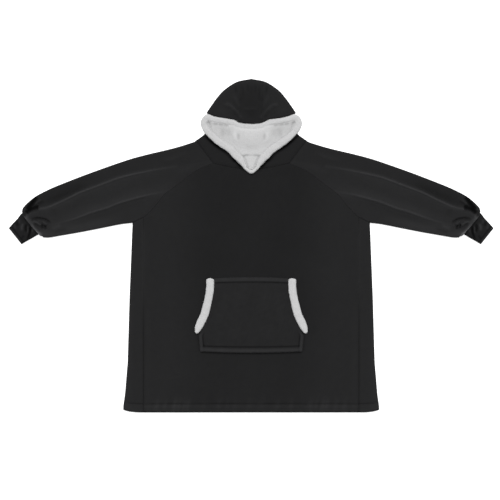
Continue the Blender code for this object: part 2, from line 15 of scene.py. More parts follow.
import bpy
import numpy as np
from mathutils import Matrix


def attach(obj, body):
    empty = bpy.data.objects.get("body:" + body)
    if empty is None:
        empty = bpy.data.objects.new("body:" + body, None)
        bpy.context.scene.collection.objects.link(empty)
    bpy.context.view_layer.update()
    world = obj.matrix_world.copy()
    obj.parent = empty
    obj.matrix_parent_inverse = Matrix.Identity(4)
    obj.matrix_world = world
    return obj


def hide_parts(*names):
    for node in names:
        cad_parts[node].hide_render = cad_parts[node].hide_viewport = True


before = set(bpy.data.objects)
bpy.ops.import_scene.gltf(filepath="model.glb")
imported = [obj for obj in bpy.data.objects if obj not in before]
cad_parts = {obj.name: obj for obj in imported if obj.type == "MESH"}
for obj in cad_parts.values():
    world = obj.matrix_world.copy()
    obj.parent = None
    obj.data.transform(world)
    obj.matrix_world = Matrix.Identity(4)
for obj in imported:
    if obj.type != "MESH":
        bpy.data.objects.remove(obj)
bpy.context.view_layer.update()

MM = 0.001
WALL = 6.0
TOP = 12.6
SEAM_GAP = 0.1

HEM_Y = -625.0
SIDE_SEAM_X = 403.5
NECK_CORNER = (-141.0, 308.0)
SHOULDER_POINT = (-207.0, 394.0)
ARMPIT = (-445.0, 85.0)
FRONT_NECK_Y = 283.5
BACK_NECK_Y = 340.0
BODY_SIDE = (
    (-609.0, 479.5), (-594.0, 478.0), (-556.0, 473.0), (-436.0, 463.0), (-196.0, 456.0), (6.0, 448.0), (85.0, 445.0),
)
RAGLAN = (
    NECK_CORNER, (-205.0, 280.0), (-282.0, 223.0), (-324.0, 192.0), (-352.0, 157.0), (-387.0, 119.0),
    (-SIDE_SEAM_X, 106.0),
)

MOUTH_TRIM = (
    (0.0, 443.0, 27.0, 23.0), (-40.0, 446.0, 26.0, 23.0), (-69.0, 459.5, 24.5, 22.0), (-106.0, 466.0, 21.5, 20.0),
    (-140.0, 473.0, 18.0, 20.5), (-165.0, 478.5, 15.6, 24.0), (-177.0, 460.0, 14.0, 25.0), (-170.0, 438.0, 14.2, 24.0),
    (-148.0, 412.5, 16.0, 24.0), (-122.0, 389.5, 17.5, 25.0), (-78.5, 361.0, 18.5, 27.0), (-56.0, 338.0, 19.0, 28.0),
    (-41.4, 324.6, 19.5, 25.5), (-29.0, 304.0, 20.0, 17.0), (-18.9, 288.0, 20.0, 11.0), (0.0, 276.0, 20.0, 12.0),
)
TRIM_SIDE = 6
# How dark the painted shadow under the mouth's trim is, at shares of the way along its lower part from the mouth's side
# to the tip.
TRIM_SHADE = (
    (0.0, 0.0), (0.1, 0.5), (0.18, 0.94), (0.42, 0.94), (0.53, 0.75), (0.61, 0.55), (0.7, 0.92), (0.84, 0.9), (0.93, 0.0),
)
POCKET_TRIM = (
    (-153.5, -122.0, 19.4, 28.0), (-154.0, -161.0, 19.4, 28.0), (-161.5, -205.0, 19.4, 28.0),
    (-173.0, -252.0, 19.4, 29.0), (-189.5, -289.0, 19.4, 28.0), (-198.5, -309.0, 19.4, 24.0),
    (-206.0, -329.0, 19.4, 11.0),
)
POCKET_CORNER = (-191.0, -397.0)
POCKET_SAG = 5.0
UPPER_RIDGE = (
    (-280.0, 297.0), (-342.0, 285.8), (-426.0, 269.3), (-492.0, 253.1), (-534.0, 237.4), (-586.0, 217.9),
    (-642.0, 196.9), (-689.0, 173.3), (-731.0, 154.3), (-768.0, 139.5), (-805.0, 135.4), (-830.0, 121.9), (-838.0, 112.0),
)
LOWER_RIDGE = (
    (-300.0, 204.0), (-342.0, 196.9), (-389.0, 187.5), (-445.0, 173.3), (-492.0, 159.4), (-539.0, 140.6),
    (-595.0, 124.1), (-651.0, 103.1), (-700.0, 88.0), (-742.0, 78.0),
)

Path = Sequence[Sequence[float]]


class Side(Enum):
    """The wearer's sides, with the sign of X on each."""

    RIGHT = -1.0
    LEFT = 1.0

    @property
    def word(self) -> str:
        """The side's name in piece names."""
        return self.name.lower()


def run_along(points: np.ndarray) -> np.ndarray:
    """The distance run in plan from the first point to each."""
    return np.concatenate([[0], np.cumsum(np.linalg.norm(np.diff(points[:, :2], axis=0), axis=1))])


def evenly(points: Path, count: int) -> np.ndarray:
    """Points evenly spaced on the straight stretches between the given ones."""
    given = np.asarray(points, float)
    run = run_along(given)
    wanted = np.linspace(0, run[-1], count)
    return np.stack([np.interp(wanted, run, column) for column in given.T], axis=1)


def curve_through(knots: Path, count: int) -> np.ndarray:
    """Points evenly spaced in plan on a smooth curve through the knots.

    Args:
        knots: The points that the curve runs through.
        count: How many points to return.

    Returns:
        An array of count points.
    """
    given = np.asarray(knots, float)
    ends = np.vstack([2 * given[0] - given[1], given, 2 * given[-1] - given[-2]])
    t = np.linspace(0, 1, 16, endpoint=False)[:, None]
    fine = []
    for a, b, c, d in zip(ends, ends[1:], ends[2:], ends[3:]):
        bend = (2 * a - 5 * b + 4 * c - d) * t**2 + (3 * b - a - 3 * c + d) * t**3
        fine.append(0.5 * (2 * b + (c - a) * t + bend))
    fine.append(given[-1:])
    return evenly(np.vstack(fine), count)


def lookup(rows: Path, at: np.ndarray) -> np.ndarray:
    """The second column of the rows at these values of the first."""
    order = np.array(sorted((row[0], row[1]) for row in rows), float)
    return np.interp(at, order[:, 0], order[:, 1])


def ramp(value: np.ndarray, start: float, end: float) -> np.ndarray:
    """A smooth step from 0 at start to 1 at end."""
    t = np.clip((np.asarray(value, float) - start) / (end - start), 0, 1)
    return t * t * (3 - 2 * t)


def stops(start: float, end: float, step: float, fine: Sequence[float] = (), reach: float = 8.0) -> np.ndarray:
    """Positions about a step apart, and close together at both ends and round each fine position.

    Args:
        start: The first position.
        end: The last position.
        step: The usual distance between positions.
        fine: Positions round which the rest stand close.
        reach: How far from a fine position they stand close.

    Returns:
        The positions in rising order.
    """
    low, high = min(start, end), max(start, end)
    even = np.linspace(low, high, max(2, round((high - low) / step)) + 1)
    close = reach * np.array((-1.0, -0.6, -0.35, -0.15, 0.0, 0.15, 0.35, 0.6, 1.0))
    marks = [low + close[4:], high + close[:5], *[np.add(mark, close) for mark in fine]]
    near = np.concatenate(marks)
    near = near[(near >= low) & (near <= high)]
    gaps = np.abs(even[:, None] - near[None, :]).min(axis=1)
    joined = np.sort(np.concatenate([even[gaps > step * 0.4], near]))
    kept = joined[np.concatenate([[True], np.diff(joined) > 0.2])]
    kept[-1] = high
    return kept if start < end else kept[::-1]


def nearest_on(plan: np.ndarray, path: np.ndarray) -> tuple[np.ndarray, np.ndarray, np.ndarray]:
    """Where plan points stand against a path.

    Args:
        plan: Points, with X and Y last.
        path: The points of the path.

    Returns:
        The distance from the path, the share of its length at the nearest place, and the side, +1 on the left.
    """
    start = path[:-1, :2]
    run = path[1:, :2] - start
    length = np.linalg.norm(run, axis=1)
    before = np.concatenate([[0], np.cumsum(length)])
    best = np.full(plan.shape[:-1], np.inf)
    along = np.zeros(plan.shape[:-1])
    side = np.ones(plan.shape[:-1])
    for k in range(len(start)):
        offset = plan[..., :2] - start[k]
        t = np.clip(offset @ run[k] / length[k] ** 2, 0, 1)
        away = offset - t[..., None] * run[k]
        distance = np.linalg.norm(away, axis=-1)
        closer = distance < best
        best = np.where(closer, distance, best)
        along = np.where(closer, (before[k] + t * length[k]) / before[-1], along)
        turn = run[k][0] * offset[..., 1] - run[k][1] * offset[..., 0]
        side = np.where(closer, np.where(turn >= 0, 1.0, -1.0), side)
    return best, along, side


@dataclass(frozen=True)
class Crease:
    """A soft ridge, or a trough where its height is negative, along a path in plan."""

    height: float
    left: float
    path: tuple[tuple[float, float], ...]
    taper: float = 0.25
    right: float | None = None

    def rise(self, plan: np.ndarray) -> np.ndarray:
        """The height that this crease adds at plan points.

        Args:
            plan: Points, with X and Y first.

        Returns:
            The heights, in the shape of the points.
        """
        distance, along, side = nearest_on(plan, curve_through(self.path, 20))
        width = np.where(side > 0, self.left, self.left if self.right is None else self.right)
        ends = ramp(np.minimum(along, 1 - along), -0.001, self.taper)
        return self.height * ends * np.exp(-((distance / width) ** 2))


@dataclass(frozen=True)
class Waves:
    """Long soft waves that cross one another, as lying cloth has."""

    height: float
    length: float
    seed: int
    count: int = 7

    def rise(self, plan: np.ndarray) -> np.ndarray:
        """The height of the waves at plan points, about as often above nought as below."""
        chance = np.random.default_rng(self.seed)
        total = np.zeros(plan.shape[:-1])
        for _ in range(self.count):
            heading, phase = chance.uniform(0, 2 * math.pi, 2)
            reach = self.length * chance.uniform(0.6, 1.7)
            line = plan[..., 0] * math.cos(heading) + plan[..., 1] * math.sin(heading)
            total += np.sin(line * 2 * math.pi / reach + phase)
        return self.height * total / math.sqrt(self.count)


@dataclass(frozen=True)
class Tufts:
    """Rounded tufts of curly pile, each round a point of a shaken lattice."""

    height: float
    spacing: float
    seed: float

    def shaken(self, i: np.ndarray, j: np.ndarray, turn: float) -> np.ndarray:
        """A value from 0 to 1 for each cell of the lattice."""
        wild = np.sin(i * 127.1 + j * 311.7 + turn + self.seed) * 43758.5453
        return wild - np.floor(wild)

    def rise(self, u: np.ndarray, v: np.ndarray, round_v: float = 0.0) -> np.ndarray:
        """The height of the pile at distances u and v along the cloth.

        Args:
            u: Distances one way.
            v: Distances the other way.
            round_v: The distance after which v comes back to its start, or 0 where it doesn't.

        Returns:
            Heights between 0 and the tufts' own.
        """
        around = max(1, round(round_v / self.spacing)) if round_v else 0
        pitch = round_v / around if around else self.spacing
        x = u / self.spacing
        y = v / pitch
        i, j = np.floor(x), np.floor(y)
        nearest = np.full(x.shape, 9.0)
        for di in (-1, 0, 1):
            for dj in (-1, 0, 1):
                row = (j + dj) % around if around else j + dj
                px = i + di + 0.15 + 0.7 * self.shaken(i + di, row, 0.0)
                py = j + dj + 0.15 + 0.7 * self.shaken(i + di, row, 2.7)
                nearest = np.minimum(nearest, np.hypot(x - px, y - py))
        return self.height * np.sqrt(np.clip(1 - (nearest / 0.95) ** 2, 0, 1))


LIE = Waves(height=0.8, length=300.0, seed=11)


def lying(plan: np.ndarray) -> np.ndarray:
    """How far the upper layer of the body stands above flat, from 0 to 3, and 0 at the neck and out on the sleeves."""
    swell = np.clip(1.3 + LIE.rise(plan), 0, 3)
    return swell * (1 - ramp(plan[..., 1], 190, 270)) * (1 - ramp(np.abs(plan[..., 0]), 400, 440))


def seam_drop(distance: np.ndarray, depth: float = 1.8, reach: float = 5.0) -> np.ndarray:
    """How far the cloth rolls down at this distance from its edge at a seam."""
    return -depth * (1 - np.clip(distance / reach, 0, 1)) ** 2


def painted_line_shade(distance: np.ndarray, depth: float, width: float) -> np.ndarray:
    """Painted shade along a line where shade falls, at a seam, groove or edge: 1 - depth on the line and 1 away from
    it.
    """
    return 1 - depth * np.exp(-((distance / width) ** 2))


def opened(shape: np.ndarray, gain: float = 0.035) -> np.ndarray:
    """Painted light and shade over folds: lighter on their ridges and darker in their troughs."""
    return np.exp(gain * np.clip(shape, -60, 18))


def trim_shade(plan: np.ndarray) -> np.ndarray:
    """Painted shadow on the fleece just outside the lower edge of the mouth's trim, where the trim's shade falls.

    Args:
        plan: Points, with X and Y first.

    Returns:
        The tone of each point, 1 away from the trim.
    """
    path = curve_through(MOUTH_TRIM[TRIM_SIDE:], 90)
    mirrored = np.stack([-np.abs(plan[..., 0]), plan[..., 1]], axis=-1)
    distance, along, _ = nearest_on(mirrored, path)
    half = lookup(np.column_stack([np.linspace(0, 1, 90), path[:, 3]]), along) / 2
    depth = lookup(TRIM_SHADE, along)
    return 1 - depth * np.exp(-((np.maximum(distance - half - 6.5, 0.0) / 5.5) ** 2))


def pocket_shade(plan: np.ndarray) -> np.ndarray:
    """Painted shadow on the fleece just below the pocket, and painted shade beside its sewn sides."""
    x, y = np.abs(plan[..., 0]), plan[..., 1]
    edge = POCKET_CORNER[1] - POCKET_SAG * (1 - np.minimum(1.0, x / -POCKET_CORNER[0]) ** 2)
    below = np.where(y < edge + 1.0, edge - y, 99.0)
    aside = np.where((y < -335.0) & (y > edge), x + lookup(((-397.0, -191.0), (-337.0, -197.0)), y), 99.0)
    inside = 1 - ramp(x, 184.0, 194.0)
    return (1 - 0.62 * inside * np.exp(-(((below - 1.5) / 4.0) ** 2))) * painted_line_shade(aside - 2.0, 0.22, 5.0)


def hem_line(x: np.ndarray) -> np.ndarray:
    """How far the hem curves up at its corners."""
    return 9.5 * (np.maximum(0.0, np.abs(x) - 400.0) / 80.0) ** 3


def neck_y(x: np.ndarray, middle: float) -> np.ndarray:
    """Height in plan of a neck seam between the neck corners, from its height in the middle."""
    across = np.minimum(1.0, np.abs(x) / -NECK_CORNER[0])
    return NECK_CORNER[1] + (middle - NECK_CORNER[1]) * (1 - across**1.4)


class Nodes:
    """A material's nodes, added and linked one at a time."""

    def __init__(self, name: str) -> None:
        """Starts a material with its Principled shader.

        Args:
            name: The material's name.
        """
        self.material = bpy.data.materials.new(name)
        self.material.use_nodes = True
        self.tree = self.material.node_tree
        self.shader = self.tree.nodes["Principled BSDF"]

    def add(self, kind: str, links: dict[str | int, object] | None = None, **settings: object) -> bpy.types.Node:
        """Adds a node.

        Args:
            kind: Blender's name for the node type.
            links: For each input, the value that it holds or the output socket that feeds it.
            **settings: The node's own properties.

        Returns:
            The node.
        """
        node = self.tree.nodes.new(kind)
        for key, value in settings.items():
            setattr(node, key, value)
        for key, value in (links or {}).items():
            self.feed(node.inputs[key], value)
        return node

    def feed(self, socket: bpy.types.NodeSocket, value: object) -> None:
        """Links a socket to the output given, or sets its value."""
        if isinstance(value, bpy.types.NodeSocket):
            self.tree.links.new(value, socket)
        else:
            socket.default_value = value

    def noise(self, scale: float, detail: float = 2.0) -> bpy.types.NodeSocket:
        """Soft noise in the object's own metres.

        Args:
            scale: Lumps to the metre.
            detail: How much finer noise is laid over it.

        Returns:
            The socket of its strength, from 0 to 1.
        """
        place = self.add("ShaderNodeTexCoord").outputs["Object"]
        return self.add("ShaderNodeTexNoise", {"Vector": place, "Scale": scale, "Detail": detail}).outputs["Fac"]

    def math(self, operation: str, first: object, second: object) -> bpy.types.NodeSocket:
        """The result of a sum on two values or sockets."""
        return self.add("ShaderNodeMath", {0: first, 1: second}, operation=operation).outputs[0]


@dataclass(frozen=True)
class Fleece:
    """Short brushed pile, matt and dark, that pales where it is seen from the side."""

    name: str
    albedo: float
    sheen: float
    pile_scale: float = 520.0
    pile_depth: float = 0.0011
    mottle: float = 0.2

    def material(self) -> bpy.types.Material:
        """Makes the material, whose colour is scaled by each mesh's painted light and shade values, with the pile's own
        uneven tone.
        """
        nodes = Nodes(self.name)
        nap = nodes.add("ShaderNodeAttribute", attribute_name="nap").outputs["Fac"]
        fine = nodes.noise(self.pile_scale, 3.0)
        broad = nodes.noise(45.0, 3.0)
        spread = nodes.math("ADD", nodes.math("MULTIPLY", fine, 0.6), nodes.math("MULTIPLY", broad, 0.4))
        speckle = nodes.math("MULTIPLY_ADD", spread, self.mottle * 2)
        nodes.feed(speckle.node.inputs[2], 1 - self.mottle)
        tone = nodes.math("MULTIPLY", nodes.math("MULTIPLY", speckle, nap), self.albedo)
        colour = nodes.add("ShaderNodeCombineColor", {0: tone, 1: tone, 2: nodes.math("MULTIPLY", tone, 1.03)})
        bump = nodes.add("ShaderNodeBump", {"Strength": 0.55, "Distance": self.pile_depth, "Height": fine})
        shader = nodes.shader
        nodes.feed(shader.inputs["Base Color"], colour.outputs[0])
        nodes.feed(shader.inputs["Normal"], bump.outputs[0])
        shader.inputs["Roughness"].default_value = 0.95
        shader.inputs["Specular IOR Level"].default_value = 0.06
        shader.inputs["Sheen Weight"].default_value = self.sheen
        shader.inputs["Sheen Roughness"].default_value = 0.35
        shader.inputs["Sheen Tint"].default_value = (0.9, 0.9, 0.92, 1.0)
        return nodes.material


@dataclass(frozen=True)
class Sherpa:
    """Long curly pile, off-white and matt, whose colour is scaled by each mesh's painted light and shade values."""

    name: str
    albedo: float
    curl_scale: float = 300.0
    curl_depth: float = 0.0016

    def material(self) -> bpy.types.Material:
        """Makes the material, with painted shade between its curls."""
        nodes = Nodes(self.name)
        place = nodes.add("ShaderNodeTexCoord").outputs["Object"]
        curls = nodes.add(
            "ShaderNodeTexVoronoi", {"Vector": place, "Scale": self.curl_scale}, feature="SMOOTH_F1"
        ).outputs["Distance"]
        fine = nodes.noise(700.0, 3.0)
        relief = nodes.math("SUBTRACT", fine, curls)
        nap = nodes.add("ShaderNodeAttribute", attribute_name="nap").outputs["Fac"]
        # Painted shade between the curls.
        between = nodes.math("MULTIPLY_ADD", curls, -0.16 * self.albedo)
        nodes.feed(between.node.inputs[2], self.albedo * 1.05)
        shade = nodes.math("MULTIPLY", between, nap)
        colour = nodes.add("ShaderNodeCombineColor", {0: shade, 1: shade, 2: nodes.math("MULTIPLY", shade, 1.005)})
        bump = nodes.add("ShaderNodeBump", {"Strength": 0.45, "Distance": self.curl_depth, "Height": relief})
        nodes.feed(nodes.shader.inputs["Base Color"], colour.outputs[0])
        nodes.feed(nodes.shader.inputs["Normal"], bump.outputs[0])
        nodes.shader.inputs["Roughness"].default_value = 1.0
        nodes.shader.inputs["Specular IOR Level"].default_value = 0.1
        return nodes.material


@dataclass(frozen=True)
class Plain:
    """An even matt finish, for thread and for the floor."""

    name: str
    albedo: float
    glow: float = 0.0

    def material(self) -> bpy.types.Material:
        """Makes the material, with a faint unevenness in its tone."""
        nodes = Nodes(self.name)
        tone = nodes.math("MULTIPLY_ADD", nodes.noise(30.0), self.albedo * 0.04)
        nodes.feed(tone.node.inputs[2], self.albedo * 0.98)
        nodes.feed(nodes.shader.inputs["Base Color"], nodes.add("ShaderNodeCombineColor", {0: tone, 1: tone, 2: tone}).outputs[0])
        nodes.shader.inputs["Roughness"].default_value = 0.9
        nodes.shader.inputs["Specular IOR Level"].default_value = 0.1
        nodes.shader.inputs["Emission Color"].default_value = (1.0, 1.0, 1.0, 1.0)
        nodes.shader.inputs["Emission Strength"].default_value = self.glow
        return nodes.material


FLEECE = Fleece("charcoal_fleece_pile", albedo=0.0150, sheen=0.12)
CUFF_FLEECE = Fleece("charcoal_cuff_pile", albedo=0.0118, sheen=0.06, pile_depth=0.0008)
SHERPA = Sherpa("white_sherpa_pile", albedo=0.54)
THREAD = Plain("charcoal_thread", albedo=0.008)
FLOOR = Plain("pale_floor", albedo=0.93, glow=0.6)


class Slot(Enum):
    """The record's material slots."""

    FLEECE = "fleece"
    CUFF = "cuff"
    SHERPA = "sherpa"


class Wardrobe:
    """The materials, each made once."""

    def __init__(self) -> None:
        """Starts with none made."""
        self.made: dict[str, bpy.types.Material] = {}

    def material(self, finish: Fleece | Sherpa | Plain) -> bpy.types.Material:
        """The material of a finish, made the first time it is asked for."""
        if finish.name not in self.made:
            self.made[finish.name] = finish.material()
        return self.made[finish.name]


WARDROBE = Wardrobe()


class Shape:
    """Points and faces of one piece as it is put together, in millimetres."""

    def __init__(self) -> None:
        """Starts with nothing."""
        self.points: list[np.ndarray] = []
        self.faces: list[np.ndarray] = []
        self.painted_light_and_nap_rows: list[np.ndarray] = []
        self.count = 0

    def add(self, points: np.ndarray, faces: np.ndarray, nap: np.ndarray | float = 1.0) -> None:
        """Adds points and the four-sided faces between them.

        Args:
            points: The points, one to a row.
            faces: Numbers of the points round each face.
            nap: The painted light and shade, with the pile's own tone, at each point, or at all of them.
        """
        self.points.append(points)
        self.painted_light_and_nap_rows.append(np.broadcast_to(np.asarray(nap, float), len(points)))
        self.faces.append(faces + self.count)
        self.count += len(points)

    def sheet(
        self,
        outer: np.ndarray,
        inner: np.ndarray,
        nap: np.ndarray | float = 1.0,
        present: np.ndarray | None = None,
        wrap: bool = False,
    ) -> None:
        """Adds cloth between two grids of points, with a rim wherever its cells stop.

        Args:
            outer: The grid of points on the outside.
            inner: The grid of points on the inside.
            nap: The painted light and shade, with the pile's own tone, at each point of a grid, or at all of them.
            present: Which cells the cloth has.
            wrap: Whether the last column joins the first.
        """
        rows, columns = outer.shape[:2]
        across = columns if wrap else columns - 1
        cells = np.ones((rows - 1, across), bool) if present is None else present
        number = np.arange(rows * columns).reshape(rows, columns)
        after = (np.arange(across) + 1) % columns
        a, b = number[:-1, :across], number[:-1, after]
        c, d = number[1:, after], number[1:, :across]
        shift = rows * columns
        faces = [np.stack([a, b, c, d], -1)[cells], np.stack([d, c, b, a], -1)[cells] + shift]
        above = np.pad(cells, ((1, 1), (0, 0)))
        if wrap:
            left, right = np.roll(cells, 1, axis=1), np.roll(cells, -1, axis=1)
        else:
            padded = np.pad(cells, ((0, 0), (1, 1)))
            left, right = padded[:, :-2], padded[:, 2:]
        for start, end, beyond in ((a, b, above[:-2]), (b, c, right), (c, d, above[2:]), (d, a, left)):
            bare = cells & ~beyond
            p, q = start[bare], end[bare]
            faces.append(np.stack([q, p, p + shift, q + shift], -1))
        points = np.concatenate([outer.reshape(-1, 3), inner.reshape(-1, 3)])
        tones = np.concatenate([np.broadcast_to(np.asarray(nap, float), (rows, columns)).reshape(-1)] * 2)
        joined = np.concatenate(faces)
        used, numbers = np.unique(joined, return_inverse=True)
        self.add(points[used], numbers.reshape(joined.shape), tones[used])

    def bar(self, rings: np.ndarray, wrap: bool, nap: float = 1.0) -> None:
        """Adds a solid bar through rings of points.

        Args:
            rings: The rings, in order.
            wrap: Whether the last ring joins the first. If not, each end is drawn in to a point.
            nap: The tone of the pile, with any painted light and shade.
        """
        count, sides = rings.shape[:2]
        number = np.arange(count * sides).reshape(count, sides)
        after = (np.arange(sides) + 1) % sides
        here = number if wrap else number[:-1]
        then = np.roll(number, -1, axis=0) if wrap else number[1:]
        faces = [np.stack([here, here[:, after], then[:, after], then], -1).reshape(-1, 4)]
        points = rings.reshape(-1, 3)
        if not wrap:
            tips = np.stack([rings[0].mean(axis=0), rings[-1].mean(axis=0)])
            points = np.vstack([points, tips])
            first, last = number[0], number[-1]
            ends = np.full(sides, count * sides)
            faces.append(np.stack([first[after], first, ends, ends], -1))
            faces.append(np.stack([last, last[after], ends + 1, ends + 1], -1))
        self.add(points, np.concatenate(faces), nap)

    def turned(self, faces: np.ndarray, points: np.ndarray) -> np.ndarray:
        """The faces, turned round if they point inwards."""
        p = points[faces]
        first = np.einsum("ij,ij->i", p[:, 0], np.cross(p[:, 1], p[:, 2])).sum()
        second = np.einsum("ij,ij->i", p[:, 0], np.cross(p[:, 2], p[:, 3])).sum()
        return faces if first + second > 0 else faces[:, ::-1]

    def build(self, name: str, finish: Fleece | Sherpa | Plain, side: Side = Side.RIGHT) -> bpy.types.Object:
        """Makes the object.

        Args:
            name: The piece's name.
            finish: What it is made of.
            side: The side it is for. The left one is the mirror image of what was added.

        Returns:
            The object, riding on the root.
        """
        points = np.concatenate(self.points) * (-side.value, 1.0, 1.0)
        faces = np.concatenate([self.turned(face, points) for face in self.faces])
        mesh = bpy.data.meshes.new(name)
        rows = [list(dict.fromkeys(face)) for face in faces.tolist()]
        mesh.from_pydata((points * MM).tolist(), [], rows)
        # Painted light and shade at each point, with the pile's own tone; the materials scale their colour by it.
        mesh.attributes.new("nap", "FLOAT", "POINT").data.foreach_set("value", np.concatenate(self.painted_light_and_nap_rows))
        mesh.shade_smooth()
        mesh.materials.append(WARDROBE.material(finish))
        obj = bpy.data.objects.new(name, mesh)
        bpy.context.collection.objects.link(obj)
        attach(obj, "root")
        return obj


def folded(edge: np.ndarray, outward: np.ndarray, height: np.ndarray, wall: float, steps: int) -> np.ndarray:
    """Points round a soft fold, from the lower layer to the upper, without its ends.

    Args:
        edge: The outermost plan point of the fold, for each row.
        outward: The unit direction out of it, for each row.
        height: The height of the fold, for each row.
        wall: The thickness of the cloth for its inside points, or 0 for its outside ones.
        steps: How many stretches the fold has.

    Returns:
        For each row, the points round the fold.
    """
    radius = height / 2
    reach = radius - wall
    centre = edge - outward * radius[:, None]
    points = []
    for k in range(1, steps):
        angle = math.pi * k / steps
        plan = centre + outward * (reach * math.sin(angle))[:, None]
        points.append(np.column_stack([plan, radius - reach * math.cos(angle)]))
    return np.stack(points, axis=1)


def across_rows(near: np.ndarray, far: np.ndarray, shares: np.ndarray) -> np.ndarray:
    """Plan points at these shares of the way from near to far, for each row."""
    return near[:, None, :] + (far - near)[:, None, :] * shares[None, :, None]


def unit_rows(vectors: np.ndarray) -> np.ndarray:
    """Each row at length 1."""
    return vectors / np.linalg.norm(vectors, axis=-1, keepdims=True)


def with_height(plan: np.ndarray, height: np.ndarray | float) -> np.ndarray:
    """Plan points at this height."""
    return np.concatenate([plan, np.broadcast_to(np.asarray(height, float), plan.shape[:-1])[..., None]], axis=-1)


def seam_allowance(path: np.ndarray, width: float = 9.0) -> tuple[np.ndarray, np.ndarray]:
    """The turned-in edges of two layers along their seam, laid flat between the upper and the lower cloth.

    Args:
        path: Plan points of the seam.
        width: How wide they lie.

    Returns:
        Its upper and lower points.
    """
    way = np.gradient(path, axis=0)
    across = unit_rows(np.stack([-way[:, 1], way[:, 0]], axis=1))
    strip = across_rows(path - across * width / 2, path + across * width / 2, np.linspace(0, 1, 4))
    return with_height(strip, WALL + 0.5), with_height(strip, WALL + 0.12)


@dataclass
class BodyRows:
    """Rows of the body from hem to neck: up the side seams, then in along the raglan seams."""

    step: float
    inset: float
    fine: tuple[float, ...] = ()

    def __post_init__(self) -> None:
        """Works out the height, the half width and the share of the neck's curve of each row."""
        self.hem_stitch = HEM_Y + 32.0
        low = stops(HEM_Y, RAGLAN[-1][1] - SEAM_GAP, self.step, (self.hem_stitch, *self.fine))
        raglan = curve_through(RAGLAN, 400)[::-1]
        seam = curve_through(RAGLAN, 400)
        away = np.gradient(seam, axis=0)
        away = unit_rows(np.stack([-away[:, 1], away[:, 0]], axis=1))[::-1]
        inner = raglan + away * self.inset * np.sign(away[:, :1])
        length = np.concatenate([[0], np.cumsum(np.linalg.norm(np.diff(raglan, axis=0), axis=1))])
        at = stops(0.0, length[-1], self.step)[1:]
        self.y = np.concatenate([low, np.interp(at, length, inner[:, 1])])
        self.half = np.concatenate([np.full(len(low), SIDE_SEAM_X - self.inset), -np.interp(at, length, inner[:, 0])])
        self.share = np.concatenate([np.zeros(len(low)), (at / length[-1]) ** 2])
        self.below = len(low)

    def plan(self, xs: np.ndarray, neck: float) -> np.ndarray:
        """Plan points of every row.

        Args:
            xs: The X of each point, a row for each row of the body.
            neck: Where the neck seam lies in the middle.

        Returns:
            The grid of points.
        """
        fade = np.maximum(0.0, 1 - (self.y - HEM_Y) / 90.0) ** 2
        dip = (neck_y(xs, neck) - NECK_CORNER[1]) * self.share[:, None]
        y = self.y[:, None] + hem_line(xs) * fade[:, None] + dip
        return np.stack([xs, y], axis=-1)


@dataclass
class Stitching:
    """Small stitches along a line that lies on the cloth."""

    name: str
    pitch: float = 5.0
    length: float = 3.4
    radius: float = 0.55

    def dress(self, lines: Sequence[np.ndarray]) -> bpy.types.Object:
        """Makes the stitches.

        Args:
            lines: The lines that they follow, each a row of points in space.

        Returns:
            The object.
        """
        shape = Shape()
        turn = np.linspace(0, 2 * math.pi, 6, endpoint=False)
        profile = ((-0.5, 0.35), (-0.36, 1.0), (0.36, 1.0), (0.5, 0.35))
        for line in lines:
            run = np.concatenate([[0], np.cumsum(np.linalg.norm(np.diff(line, axis=0), axis=1))])
            centres = np.arange(self.pitch, run[-1] - self.pitch / 2, self.pitch)
            for centre in centres:
                ends = centre + np.array((-0.5, 0.5)) * self.length
                p, q = (np.array([np.interp(end, run, column) for column in line.T]) for end in ends)
                along = (q - p) / np.linalg.norm(q - p)
                side = np.cross(along, (0, 0, 1.0))
                side /= np.linalg.norm(side)
                up = np.cross(side, along)
                ring = side * np.cos(turn)[:, None] + up * np.sin(turn)[:, None]
                rings = [(p + q) / 2 + (q - p) * at + ring * self.radius * wide for at, wide in profile]
                shape.bar(np.stack(rings), wrap=False)
        return shape.build(self.name, THREAD)


